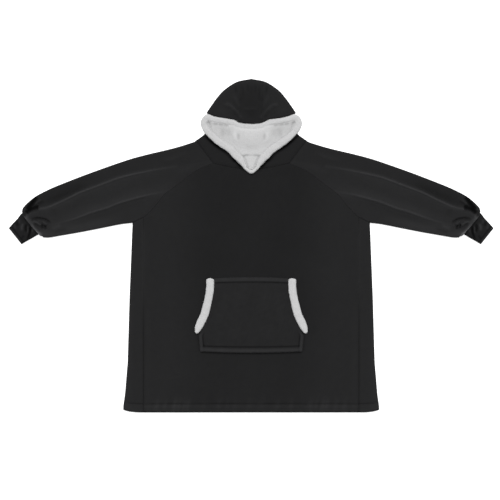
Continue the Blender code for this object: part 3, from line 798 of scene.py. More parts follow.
@dataclass
class FrontPanel:
    """The body's front, between its side seams, raglan seams, hem and neck."""

    step: float = 5.0
    puckers: tuple[tuple[float, float, float], ...] = (
        (-352.0, 10.0, 2.0), (-322.0, 8.0, 1.6), (-286.0, 10.0, 3.0), (-268.0, 7.0, 2.4), (-251.0, 6.0, 2.0),
        (-236.0, 9.0, 2.6), (-176.0, 14.0, 1.2), (-121.0, 10.0, 2.0), (-88.0, 7.0, 1.2), (-60.0, 12.0, 1.2),
        (-8.0, 10.0, 1.5), (41.0, 13.0, 1.1), (98.0, 10.0, 1.9), (150.0, 9.0, 1.8), (222.0, 10.0, 2.0), (244.0, 6.0, 1.8),
        (268.0, 8.0, 2.6), (285.0, 9.0, 2.2), (318.0, 8.0, 1.6), (351.0, 10.0, 1.8),
    )
    creases: tuple[Crease, ...] = (
        Crease(1.6, 16.0, ((-374.0, -560.0), (-378.0, -330.0), (-381.0, -120.0), (-384.0, 60.0))),
        Crease(1.6, 16.0, ((374.0, -560.0), (378.0, -330.0), (381.0, -120.0), (384.0, 60.0))),
        Crease(1.8, 26.0, ((-330.0, 120.0), (-286.0, 30.0), (-262.0, -90.0))),
        Crease(1.8, 26.0, ((330.0, 120.0), (290.0, 24.0), (270.0, -100.0))),
        Crease(1.3, 18.0, ((-96.0, 272.0), (-112.0, 200.0), (-104.0, 120.0))),
        Crease(1.3, 18.0, ((98.0, 272.0), (116.0, 205.0), (110.0, 130.0))),
        Crease(-1.2, 14.0, ((-60.0, 268.0), (-66.0, 225.0), (-60.0, 180.0))),
        Crease(-1.2, 14.0, ((64.0, 268.0), (70.0, 222.0), (66.0, 176.0))),
        Crease(1.5, 22.0, ((-150.0, -450.0), (-158.0, -520.0), (-150.0, -590.0))),
        Crease(1.4, 20.0, ((-40.0, -430.0), (-48.0, -500.0), (-42.0, -585.0))),
        Crease(1.5, 24.0, ((88.0, -440.0), (96.0, -510.0), (92.0, -590.0))),
        Crease(1.4, 20.0, ((232.0, -400.0), (226.0, -480.0), (240.0, -580.0))),
    )

    def rise(self, plan: np.ndarray) -> np.ndarray:
        """Height of the front's upper face above its flat level, away from its edges."""
        return lying(plan) + sum(crease.rise(plan) for crease in self.creases)

    def gathers(self, plan: np.ndarray) -> np.ndarray:
        """Height of the puckers that the hem's stitching draws up."""
        total = np.zeros(plan.shape[:-1])
        line = HEM_Y + 32.0 + hem_line(plan[..., 0])
        for x, width, height in self.puckers:
            slant = (plan[..., 1] - line) * 0.18
            total += height * np.exp(-(((plan[..., 0] - x - slant) / width) ** 2))
        return 1.3 * total * np.exp(-(((plan[..., 1] - line + 6.0) / 24.0) ** 2))

    def nap(self, plan: np.ndarray) -> np.ndarray:
        """Painted light and shade on the front: paler towards the sides as painted sheen and paler towards the hem, a
        painted highlight inside the side seams and painted shade along them, under the pocket and under the trim.
        """
        x, y = np.abs(plan[..., 0]), plan[..., 1]
        sides = ramp(x, 150.0, 330.0)
        low = ramp(-y, 150.0, 600.0)
        # Painted sheen makes it paler towards the sides, and it is paler towards the hem; the waves are the pile's own
        # uneven tone.
        broad = 0.8 + 0.2 * sides + 0.08 * low * (1 - sides) + 0.018 * Waves(1.0, 170.0, 21).rise(plan)
        # Painted shade along the side seams, and a painted highlight just inside them.
        seam = painted_line_shade(SIDE_SEAM_X - x, 0.1, 4.5) + 0.06 * np.exp(-(((x - 386.0) / 9.0) ** 2))
        seen = ramp(-y, 120.0, 330.0)
        faint = 0.16 * np.exp(-(((SIDE_SEAM_X - x) / 4.0) ** 2)) * (1 - seen) * (1 - ramp(y, 40.0, 90.0))
        return broad * (1 + (seam - 1) * seen + faint) * pocket_shade(plan) * trim_shade(plan)

    def dress(self) -> list[bpy.types.Object]:
        """Makes the panel and the stitching of its hem."""
        rows = BodyRows(self.step, SEAM_GAP / 2, (POCKET_CORNER[1] - POCKET_SAG,))
        unit = stops(-SIDE_SEAM_X, SIDE_SEAM_X, self.step) / SIDE_SEAM_X
        xs = rows.half[:, None] * unit[None, :]
        plan = rows.plan(xs, FRONT_NECK_Y - SEAM_GAP)
        aside = np.minimum(rows.half[:, None] - np.abs(xs), 99.0)
        hem = plan[..., 1] - plan[:1, :, 1]
        neck = plan[-1:, :, 1] - plan[..., 1]
        stitch = hem - 32.0
        height = TOP + self.rise(plan) + self.gathers(plan) + seam_drop(neck, 1.6)
        height += seam_drop(aside) * np.maximum(0.3, np.maximum(ramp(-plan[..., 1], 120.0, 330.0), ramp(plan[..., 1], 60.0, 100.0)))
        taut = 0.7 + 0.3 * Waves(1.0, 90.0, 41).rise(plan)
        height += seam_drop(hem, 3.2, 5.0) - 1.6 * taut * np.exp(-((stitch / 2.6) ** 2))
        under = TOP - WALL + np.maximum(0, height - TOP) + np.where(hem < 3.0, 1.2 * (1 - hem / 3.0), 0.0)
        # Painted light on the raised hem strip, painted shade at the hem's edge, along its groove and by its stitching,
        # and painted light and shade over the puckers.
        strip = 1 + 0.2 * np.exp(-(((hem - 19.0) / 10.0) ** 4)) - 0.7 * np.exp(-((hem / 4.0) ** 2))
        strip -= 0.08 * np.exp(-(((hem - 14.0) / 3.0) ** 2))
        tone = self.nap(plan) * strip * (1 - 0.15 * taut * np.exp(-(((stitch - 2.0) / 4.0) ** 2)))
        tone *= opened(self.gathers(plan), 0.09)
        shape = Shape()
        shape.sheet(with_height(plan, height), with_height(plan, under), tone)
        obj = shape.build("front_panel_cloth", FLEECE)
        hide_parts("front_panel")
        line = np.argmin(np.abs(stitch[:, 0]))
        thread = Stitching("hem_stitching").dress([with_height(plan, height)[line] + (0, 0, 0.35)])
        return [obj, thread]


@dataclass
class BackPanel:
    """The body's back, which wraps round both sides to the side seams on the front."""

    step: float = 8.0
    fold_steps: int = 9
    strip_cells: int = 9
    middle_cells: int = 84

    def side(self, rows: BodyRows, sign: float) -> tuple[np.ndarray, np.ndarray]:
        """The cloth of one side, from the seam on the front, round the fold, to the middle on the floor.

        Args:
            rows: The body's rows.
            sign: -1 for the wearer's right.

        Returns:
            The outside and inside points of each row.
        """
        y = np.minimum(rows.y, RAGLAN[-1][1] - SEAM_GAP)
        half = lookup(BODY_SIDE, y)
        radius = TOP / 2
        share = np.concatenate([np.array((0.0, 0.012, 0.03, 0.06)), np.linspace(0.1, 1, self.strip_cells)])
        near = SIDE_SEAM_X + SEAM_GAP / 2
        x = near + (half - radius - near)[:, None] * share[None, :]
        fade = np.maximum(0.0, 1 - (y - HEM_Y) / 90.0) ** 2
        slope = np.clip((y - 60.0) / 46.0, 0, 1)[:, None]
        corner = np.clip((x - SIDE_SEAM_X) / (-ARMPIT[0] - SIDE_SEAM_X), 0, 1) * (ARMPIT[1] - 0.6 - RAGLAN[-1][1])
        level = y[:, None] + hem_line(x) * fade[:, None] + slope * corner
        plan = np.stack([sign * x, level], axis=-1)
        hem = level - level[:1]
        seam = x - near
        drawn = np.maximum(0.3, np.maximum(ramp(-level, 120.0, 330.0), ramp(level, 60.0, 100.0)))
        top = TOP + lying(plan) * (1 - share**2) + seam_drop(seam) * drawn + seam_drop(hem, 3.2, 5.0)
        top += 1.5 * np.exp(-(((seam - 30.0) / 26.0) ** 2)) * (1 - share)
        top -= 2.4 * np.exp(-(((hem - 32.0) / 2.6) ** 2))
        edge_y = y + hem_line(half) * fade + slope[:, 0] * (ARMPIT[1] - 0.6 - RAGLAN[-1][1])
        edge = np.stack([sign * half, edge_y], axis=-1)
        outward = np.broadcast_to((sign, 0.0), edge.shape)
        tall = np.full(len(y), TOP)
        bends = [folded(edge, outward, tall, wall, self.fold_steps)[:, ::-1] for wall in (0.0, WALL)]
        below = plan[:, ::-1]
        outer = np.concatenate([with_height(plan, top), bends[0], with_height(below, 0.0)], axis=1)
        inner = np.concatenate([with_height(plan, TOP - WALL), bends[1], with_height(below, WALL)], axis=1)
        return outer, inner

    def nap(self, points: np.ndarray) -> np.ndarray:
        """Painted light and shade on the back: paler at the outer folds as painted sheen, a painted highlight on the
        hem strip with painted shade at its edge, and painted shade along the side seams with a painted highlight beside
        them.
        """
        x, y = np.abs(points[..., 0]), points[..., 1]
        outer = ramp(x, 434.0, 462.0)
        hem = y - HEM_Y - hem_line(x)
        strip = 1 + 0.12 * np.exp(-(((hem - 17.0) / 11.0) ** 4)) - 0.3 * np.exp(-((hem / 2.5) ** 2))
        seam = painted_line_shade(np.where(points[..., 2] > WALL, x - SIDE_SEAM_X, 99.0), 0.16 * ramp(-y, 120.0, 330.0), 4.5)
        faint = np.exp(-(((x - SIDE_SEAM_X) / 4.0) ** 2)) * (1 - ramp(-y, 120.0, 330.0)) * (1 - ramp(y, 40.0, 90.0))
        return (1.04 + 0.12 * outer) * strip * seam * (1 + 0.14 * faint * (points[..., 2] > WALL))

    def dress(self) -> list[bpy.types.Object]:
        """Makes the panel and the stitching of its hem on the front."""
        rows = BodyRows(self.step, SEAM_GAP / 2)
        unit = np.linspace(-1, 1, self.middle_cells + 1)
        xs = rows.half[:, None] * unit[None, :]
        plan = rows.plan(xs, BACK_NECK_Y - SEAM_GAP)
        middle = (with_height(plan, 0.0), with_height(plan, WALL))
        right, left = self.side(rows, -1.0), self.side(rows, 1.0)
        outer, inner = (
            np.concatenate([r[:, :-1], m, w[:, ::-1][:, 1:]], axis=1) for r, m, w in zip(right, middle, left)
        )
        present = np.ones((outer.shape[0] - 1, outer.shape[1] - 1), bool)
        side = (outer.shape[1] - 1 - self.middle_cells) // 2
        present[rows.below - 1 :, :side] = False
        present[rows.below - 1 :, -side:] = False
        shape = Shape()
        shape.sheet(outer, inner, self.nap(outer), present)
        obj = shape.build("back_panel_cloth", FLEECE)
        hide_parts("back_panel")
        row = np.argmin(np.abs(rows.y - rows.hem_stitch))
        strips = [points[row, : self.strip_cells + 3] + (0, 0, 0.35) for points in (right[0], left[0])]
        thread = Stitching("side_hem_stitching").dress(strips)
        return [obj, thread]


@dataclass
class Sleeve:
    """A raglan sleeve, laid flat, that puffs out over its cuff."""

    side: Side
    open_rows: int = 76
    tube_rows: int = 220
    lower_cells: int = 16
    upper_cells: int = 100
    fold_steps: int = 8
    end_height: float = 21.5
    puff_rise: float = 11.0
    top_edge: tuple[tuple[float, float], ...] = (
        SHOULDER_POINT, (-220.0, 386.5), (-294.0, 364.2), (-388.0, 341.8), (-465.0, 320.5), (-594.0, 275.5),
        (-710.0, 231.0), (-762.0, 208.5), (-805.0, 186.0), (-834.0, 163.5), (-855.0, 141.0), (-859.0, 124.0),
    )
    under_edge: tuple[tuple[float, float], ...] = (
        ARMPIT, (-492.0, 79.0), (-567.0, 64.0), (-642.0, 49.5), (-717.0, 36.5), (-755.0, 30.0), (-779.0, 30.0),
    )
    roll: tuple[tuple[float, float, float], ...] = (
        (2.5, 0.05, 0.01), (4.2, 0.16, 0.03), (4.4, 0.3, 0.06), (3.0, 0.43, 0.09), (0.0, 0.5, 0.12), (-5.0, 0.54, 0.14),
    )
    creases: tuple[Crease, ...] = (
        Crease(6.5, 24.0, UPPER_RIDGE, 0.3, 8.0),
        Crease(6.0, 3.8, UPPER_RIDGE, 0.35),
        Crease(4.5, 8.0, LOWER_RIDGE, 0.3, 26.0),
        Crease(5.0, 3.8, LOWER_RIDGE, 0.35),
        Crease(-1.2, 9.0, ((-360.0, 178.0), (-450.0, 156.0), (-545.0, 122.0), (-640.0, 90.0), (-700.0, 72.0)), 0.3),
        Crease(2.6, 14.0, ((-470.0, 96.0), (-560.0, 86.0), (-650.0, 66.0), (-745.0, 50.0)), 0.35),
        Crease(1.8, 16.0, ((-380.0, 246.0), (-470.0, 224.0), (-560.0, 190.0), (-650.0, 150.0)), 0.35),
        Crease(-3.6, 10.0, ((-600.0, 232.0), (-650.0, 210.0), (-700.0, 188.0), (-750.0, 166.0), (-790.0, 156.0)), 0.3, 15.0),
        Crease(-52.0, 7.5, ((-804.0, 185.0), (-813.0, 170.0), (-824.0, 153.0), (-839.0, 132.0)), 0.12, 10.0),
        Crease(-46.0, 4.2, ((-846.0, 122.0), (-830.0, 135.0), (-812.0, 142.0), (-794.0, 146.0)), 0.14, 10.0),
        Crease(5.0, 5.0, ((-784.0, 172.0), (-796.0, 164.0), (-808.0, 152.0)), 0.3),
        Crease(-4.0, 6.0, ((-774.0, 166.0), (-786.0, 158.0), (-800.0, 150.0)), 0.3),
        Crease(6.5, 6.0, ((-808.0, 192.0), (-834.0, 166.0), (-850.0, 138.0)), 0.15),
        Crease(9.0, 6.0, (
            (-838.0, 118.0), (-835.0, 102.0), (-820.0, 86.0), (-812.0, 70.0), (-806.0, 56.0), (-796.0, 46.0), (-776.0, 40.0),
        ), 0.15),
        Crease(-7.5, 4.2, ((-815.0, 103.0), (-792.0, 101.0), (-769.0, 96.0), (-756.0, 87.0), (-749.0, 77.0)), 0.25),
        Crease(11.0, 4.5, ((-818.0, 90.0), (-801.0, 85.0), (-791.0, 79.0), (-785.0, 71.0)), 0.2),
        Crease(8.0, 4.5, ((-782.0, 90.0), (-772.0, 84.0), (-763.0, 75.0)), 0.25),
        Crease(-11.0, 4.0, ((-785.0, 80.0), (-781.0, 72.0), (-780.0, 62.0)), 0.25),
        Crease(-11.0, 4.0, ((-774.0, 78.0), (-770.0, 70.0), (-770.0, 59.0)), 0.25),
        Crease(-5.0, 5.0, ((-822.0, 100.0), (-806.0, 97.0), (-796.0, 92.0)), 0.3),
        Crease(5.0, 8.0, ((-752.0, 56.0), (-732.0, 64.0), (-706.0, 78.0)), 0.35),
        Crease(-3.5, 7.0, ((-745.0, 44.0), (-715.0, 52.0), (-680.0, 60.0)), 0.35),
        Crease(-2.4, 12.0, ((-736.0, 140.0), (-740.0, 122.0), (-734.0, 100.0)), 0.35),
        Crease(2.6, 9.0, ((-226.0, 352.0), (-280.0, 330.0), (-350.0, 312.0)), 0.4),
        Crease(2.2, 12.0, ((-210.0, 300.0), (-250.0, 282.0), (-300.0, 262.0)), 0.4),
    )

    # How strong the painted highlight on the rolled rim is, at heights in plan; below nought it is painted shade.
    rim_share: tuple[tuple[float, float], ...] = (
        (38.0, 1.4), (46.0, 1.8), (70.0, 1.5), (86.0, 0.7), (94.0, 0.9), (102.0, 1.2), (108.0, 1.0), (113.0, -0.5),
        (117.0, -0.75), (128.0, -0.75), (136.0, 0.2), (146.0, 0.5),
    )
    # The edge of the flap over the cuff, which gets a painted highlight.
    flap: tuple[tuple[float, float], ...] = ((-822.0, 172.0), (-838.0, 158.0), (-850.0, 140.0))

    def stations(self) -> tuple[np.ndarray, np.ndarray]:
        """Plan points of the lower and upper edge at each station from the neck to the cuff."""
        seam = np.vstack([curve_through(RAGLAN, 300)[:-1], np.linspace(RAGLAN[-1], ARMPIT, 40)])
        length = np.concatenate([[0], np.cumsum(np.linalg.norm(np.diff(seam, axis=0), axis=1))])
        at = np.linspace(0, length[-1], self.open_rows + 1)
        opened = np.stack([np.interp(at, length, column) for column in seam.T], axis=1)
        tube = curve_through(self.under_edge, self.tube_rows + 1)[1:]
        top = curve_through(self.top_edge, 2001)
        fractions = np.concatenate([
            np.linspace(0, 0.29, self.open_rows + 1), np.linspace(0.29, 1, self.tube_rows + 1)[1:],
        ])
        upper = top[np.round(fractions * 2000).astype(int)]
        return np.vstack([opened, tube]), upper

    def over_height(self, plan: np.ndarray, height: np.ndarray, puff: np.ndarray, wide: np.ndarray) -> np.ndarray:
        """Height of the upper layer.

        Args:
            plan: Its plan points.
            height: The height of the side folds, for each row.
            puff: How far each row is on its way to the full puff, 0 to 1.
            wide: The share of the way across, for each column.

        Returns:
            The height of each point.
        """
        crown = self.puff_rise * puff[:, None] * np.sin(np.pi * wide)[None, :] ** 0.6
        body = 5.0 * np.sin(np.pi * wide)[None, :] ** 0.8 * (1 - puff[:, None])
        soft = np.sin(np.pi * wide)[None, :] ** 0.35
        shape = sum(crease.rise(plan) for crease in self.creases)
        full = height[:, None] + crown + body * self.filled(len(height))
        return np.maximum(full + soft * shape, np.minimum(full, 2 * WALL + 1.2))

    def filled(self, count: int) -> np.ndarray:
        """How full of air each row is: not at the raglan seam, and fully along the tube."""
        return ramp(np.arange(count) / count, 0.1, 0.45)[:, None]

    def nap(self, plan: np.ndarray) -> np.ndarray:
        """Painted light and shade on the sleeve: painted highlights on the ridges, along the lower edge, on the rolled
        rim and on the flap, painted shade in the troughs and above the long upper ridge near the cuff, and a painted
        highlight along the raglan seam.

        Args:
            plan: Points, with X and Y first.

        Returns:
            The tone of each point.
        """
        distance, along, side = nearest_on(plan, curve_through(UPPER_RIDGE, 30))
        above = np.where(side < 0, 1.0, 0.0) * ramp(distance, 0.0, 10.0)
        low = np.where(side > 0, 1.0, 0.0) * ramp(distance, 30.0, 110.0)
        to_edge = nearest_on(plan, curve_through(self.under_edge, 30))[0]
        broad = 1.06 - 0.06 * above - 0.16 * above * ramp(along, 0.4, 0.75) + 0.04 * low
        broad += 0.26 * (1 - ramp(to_edge, 14.0, 50.0)) * ramp(-plan[..., 0], 450.0, 600.0)
        broad += 0.16 * (1 - ramp(to_edge, 6.0, 30.0)) * ramp(-plan[..., 0], 660.0, 760.0)
        to_lower, _, lower_side = nearest_on(plan, curve_through(LOWER_RIDGE, 30))
        broad += 0.2 * np.exp(-((distance / 4.5) ** 2)) + 0.18 * np.exp(-((to_lower / 5.5) ** 2))
        broad += 0.22 * np.exp(-((distance / 7.0) ** 2)) * ramp(-plan[..., 0], 690.0, 760.0)
        broad += np.where(
            lower_side < 0, 0.12 * np.exp(-((to_lower / 34.0) ** 2)), 0.13 * np.exp(-(((to_lower - 9.0) / 7.0) ** 2)),
        )
        broad += 0.5 * np.exp(-(((plan[..., 0] + 796.0) / 26.0) ** 2) - ((plan[..., 1] - 44.0) / 11.0) ** 2)
        to_seam = nearest_on(plan, curve_through(RAGLAN, 60))[0]
        folds = sum(crease.rise(plan) for crease in self.creases)
        rows = np.arange(len(plan)) - len(plan)
        rim = lookup(((-14.0, 0.0), (-10.0, 0.25), (-7.0, 0.9), (-4.0, 1.3), (-3.0, 0.8), (-1.0, -0.3)), rows)[:, None]
        lobe = lookup(self.rim_share, plan[..., 1])
        flap = 1.4 * np.exp(-((nearest_on(plan, np.array(self.flap))[0] / 7.5) ** 2))
        near_seam = (0.94 + 0.06 * ramp(to_seam, 0.0, 22.0)) * (1 + 0.16 * np.exp(-((to_seam / 4.0) ** 2)))
        return broad * opened(folds) * (1 + rim * lobe + 0.35 * flap) * near_seam

    def dress(self) -> list[bpy.types.Object]:
        """Makes the sleeve."""
        low, high = self.stations()
        count = len(low)
        first_tube = self.open_rows
        run = np.clip((np.arange(count) - first_tube) / (count - 1 - first_tube), 0, 1)
        puff = np.clip((run - 0.6) / 0.4, 0, 1) ** 1.6
        height = TOP + (self.end_height - TOP) * puff
        across = unit_rows(high - low)
        seam_way = np.gradient(low, axis=0)
        off_seam = unit_rows(np.stack([-seam_way[:, 1], seam_way[:, 0]], axis=1))
        off_seam *= np.sign(np.einsum("ij,ij->i", off_seam, across))[:, None] * SEAM_GAP / 2
        whole = (np.arange(count) >= first_tube)[:, None]
        near = np.where(whole, low + across * height[:, None] / 2, low + off_seam)
        far = high - across * height[:, None] / 2
        start = unit_rows((high - low)[:, ::-1] * (1, -1)) * (-SEAM_GAP / 2)
        near[0] += start[0]
        far[0] += start[0]
        edge = high.copy()
        edge[0] += start[0]
        fine = np.concatenate([np.linspace(0, 1, self.upper_cells - 3), 1 - np.array((0.006, 0.014, 0.027))])
        wide = np.unique(fine)
        under = across_rows(near, far, np.linspace(0, 1, self.lower_cells + 1))
        over = across_rows(far, near, wide)
        tops = self.over_height(over, height, puff, wide)
        width = np.linalg.norm(near - far, axis=1)[:, None]
        to_seam = (1 - wide)[None, :] * width
        tops += np.where(whole, 0.0, seam_drop(to_seam))
        tops += seam_drop(np.arange(count)[:, None] * 5.0 + 0 * wide[None, :], 2.6, 9.0)
        tops += lying(over)
        outer = np.concatenate([
            with_height(under, 0.0), folded(edge, across, height, 0.0, self.fold_steps),
            with_height(over, tops), folded(low, -across, height, 0.0, self.fold_steps)[:, ::-1],
        ], axis=1)
        inner = np.concatenate([
            with_height(under, WALL), folded(edge, across, height, WALL, self.fold_steps),
            with_height(over, np.maximum(tops - WALL, WALL + 0.3)),
            folded(low, -across, height, WALL, self.fold_steps)[:, ::-1],
        ], axis=1)
        outer, inner = self.rolled(outer, inner, across[-1])
        rows = len(outer)
        present = np.ones((rows - 1, outer.shape[1]), bool)
        present[:first_tube, -self.fold_steps :] = False
        shape = Shape()
        shape.sheet(outer, inner, self.nap(outer), present, wrap=True)
        seam = np.vstack([SHOULDER_POINT, evenly(RAGLAN, 60), ARMPIT])
        shape.sheet(*seam_allowance(evenly(seam, 160)))
        name = "sleeve_" + self.side.word
        obj = shape.build(name + "_cloth", FLEECE, self.side)
        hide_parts(name)
        return [obj]

    def rolled(self, outer: np.ndarray, inner: np.ndarray, across: np.ndarray) -> tuple[np.ndarray, np.ndarray]:
        """Turns the end of the upper layer down and in over the cuff.

        Args:
            outer: The outside points.
            inner: The inside points.
            across: The unit direction across the sleeve at its end.

        Returns:
            The outside and inside points with the rolled rows added.
        """
        back = np.array((across[1], -across[0], 0.0))
        back *= np.sign(back[0])
        bend = np.arange(1, self.fold_steps) / self.fold_steps
        upper = outer.shape[1] - (self.lower_cells + 1) - 2 * (self.fold_steps - 1)
        weight = np.concatenate([np.zeros(self.lower_cells + 1), bend, np.ones(upper), 1 - bend])[:, None]
        last = outer[-1].copy()
        middle = last[:, :2].mean(axis=0)
        reach = ((last[:, :2] - middle) @ across)[:, None]
        sideways = np.append(across, 0.0)[None, :]
        for points in (outer, inner):
            points[-1] += back * (1 - weight) * (14.0 + len(self.roll))
        rows_out = []
        rows_in = []
        for k, (forward, drop, narrow) in enumerate(self.roll):
            shift = -back * forward * weight - back * (1 - weight) * (k + 1) - sideways * reach * narrow * weight
            for points, made, thin in ((outer, rows_out, 1.0), (inner, rows_in, 0.82)):
                row = points[-1] + shift * (1, 1, 0) * (1.0 if thin == 1.0 else 0.55)
                row[:, 2] *= (1 - drop * weight[:, 0] * (1.0 if thin == 1.0 else 0.35))
                made.append(row)
        rows_in[-1] = rows_out[-1] + (rows_in[-1] - rows_out[-1]) * 0.35
        return np.concatenate([outer, rows_out]), np.concatenate([inner, rows_in])


@dataclass
class Cuff:
    """A narrow cuff, laid flat, that comes out from under the sleeve."""

    side: Side
    sections: tuple[tuple[float, float, float, float, float], ...] = (
        (-843.0, 131.0, -778.0, 50.0, 13.0), (-861.0, 120.0, -800.0, 40.0, 13.0), (-876.0, 101.0, -821.0, 27.5, 13.0),
        (-893.0, 83.0, -841.0, 16.5, 12.6), (-908.5, 66.0, -860.0, 5.0, 12.0),
    )
    wall: float = 4.2
    cells: int = 64
    fold_steps: int = 8
    rows: int = 60
    creases: tuple[Crease, ...] = (
        Crease(-5.5, 5.0, ((-850.0, 122.0), (-843.0, 108.0), (-835.0, 92.0)), 0.15),
        Crease(-3.2, 4.5, ((-841.0, 84.0), (-844.0, 66.0), (-841.0, 46.0)), 0.3),
        Crease(-4.8, 4.0, ((-828.0, 76.0), (-828.0, 54.0), (-833.0, 36.0), (-840.0, 20.0)), 0.25),
        Crease(2.8, 6.5, ((-852.0, 88.0), (-858.0, 70.0), (-859.0, 50.0)), 0.35),
        Crease(2.4, 4.0, ((-835.0, 76.0), (-836.0, 60.0), (-838.0, 42.0)), 0.3),
        Crease(2.6, 4.5, ((-818.0, 78.0), (-817.0, 62.0), (-820.0, 46.0)), 0.3),
        Crease(-2.2, 5.0, ((-872.0, 92.0), (-876.0, 82.0), (-874.0, 70.0)), 0.35),
        Crease(1.8, 5.0, ((-864.0, 104.0), (-868.0, 92.0), (-866.0, 78.0)), 0.35),
        Crease(1.6, 5.0, ((-882.0, 84.0), (-886.0, 72.0), (-880.0, 58.0)), 0.35),
        Crease(-2.0, 4.0, ((-850.0, 40.0), (-856.0, 30.0), (-864.0, 24.0)), 0.35),
    )

    def dress(self) -> list[bpy.types.Object]:
        """Makes the cuff and the stitching of its open end."""
        table = curve_through(self.sections, self.rows)
        high, low, tall = table[:, 0:2], table[:, 2:4], table[:, 4]
        across = unit_rows(high - low)
        near = low + across * tall[:, None] / 2
        far = high - across * tall[:, None] / 2
        shares = np.linspace(0, 1, self.cells + 1)
        under = across_rows(near, far, shares)
        over = across_rows(far, near, shares)
        run = np.linalg.norm((high + low)[-1:] / 2 - (high + low) / 2, axis=1)[:, None]
        folds = sum(crease.rise(over) for crease in self.creases) * np.sin(np.pi * shares) ** 0.5
        tops = tall[:, None] + folds
        tops += 1.3 * np.exp(-(((run - 5.0) / 4.0) ** 2)) - 1.6 * np.exp(-(((run - 11.0) / 2.0) ** 2))
        tops = np.where(run > 60.0, np.minimum(tops, 13.0), tops)
        drop = np.where(run < 2.0, 1.0 - run / 2.0, 0.0)
        parts = []
        for wall, at in ((0.0, 1.0), (self.wall, -1.0)):
            flat = wall + drop * 1.2 * at + 0 * under[..., 0]
            over_z = tops - wall - drop * 1.2 * at
            parts.append(np.concatenate([
                with_height(under, flat), folded(high, across, tall, wall, self.fold_steps),
                with_height(over, over_z), folded(low, -across, tall, wall, self.fold_steps)[:, ::-1],
            ], axis=1))
        parts[0][..., 2] = np.maximum(parts[0][..., 2], 0.0)
        shape = Shape()
        # Painted light on the raised strip at the open end, painted shade along its stitching, at its end and along its
        # lower side, and painted light and shade over its folds.
        ends = (1 + 0.45 * np.exp(-(((run - 4.5) / 3.5) ** 2))) * painted_line_shade(run - 11.0, 0.4, 2.6) * painted_line_shade(run, 0.3, 1.6)
        every = sum(crease.rise(parts[0]) for crease in self.creases)
        low_side = nearest_on(parts[0], curve_through(low, 30))[0]
        tone = ends * opened(every, 0.28) * painted_line_shade(low_side, 0.4, 7.0)
        shape.sheet(parts[0], parts[1], tone, wrap=True)
        name = "cuff_" + self.side.word
        obj = shape.build(name + "_cloth", CUFF_FLEECE, self.side)
        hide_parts(name)
        row = int(np.argmin(np.abs(run[:, 0] - 11.0)))
        line = with_height(over, tops + 0.3)[row] * (-self.side.value, 1, 1)
        thread = Stitching("cuff_stitching_" + self.side.word, pitch=4.0, length=2.8).dress([line])
        return [obj, thread]


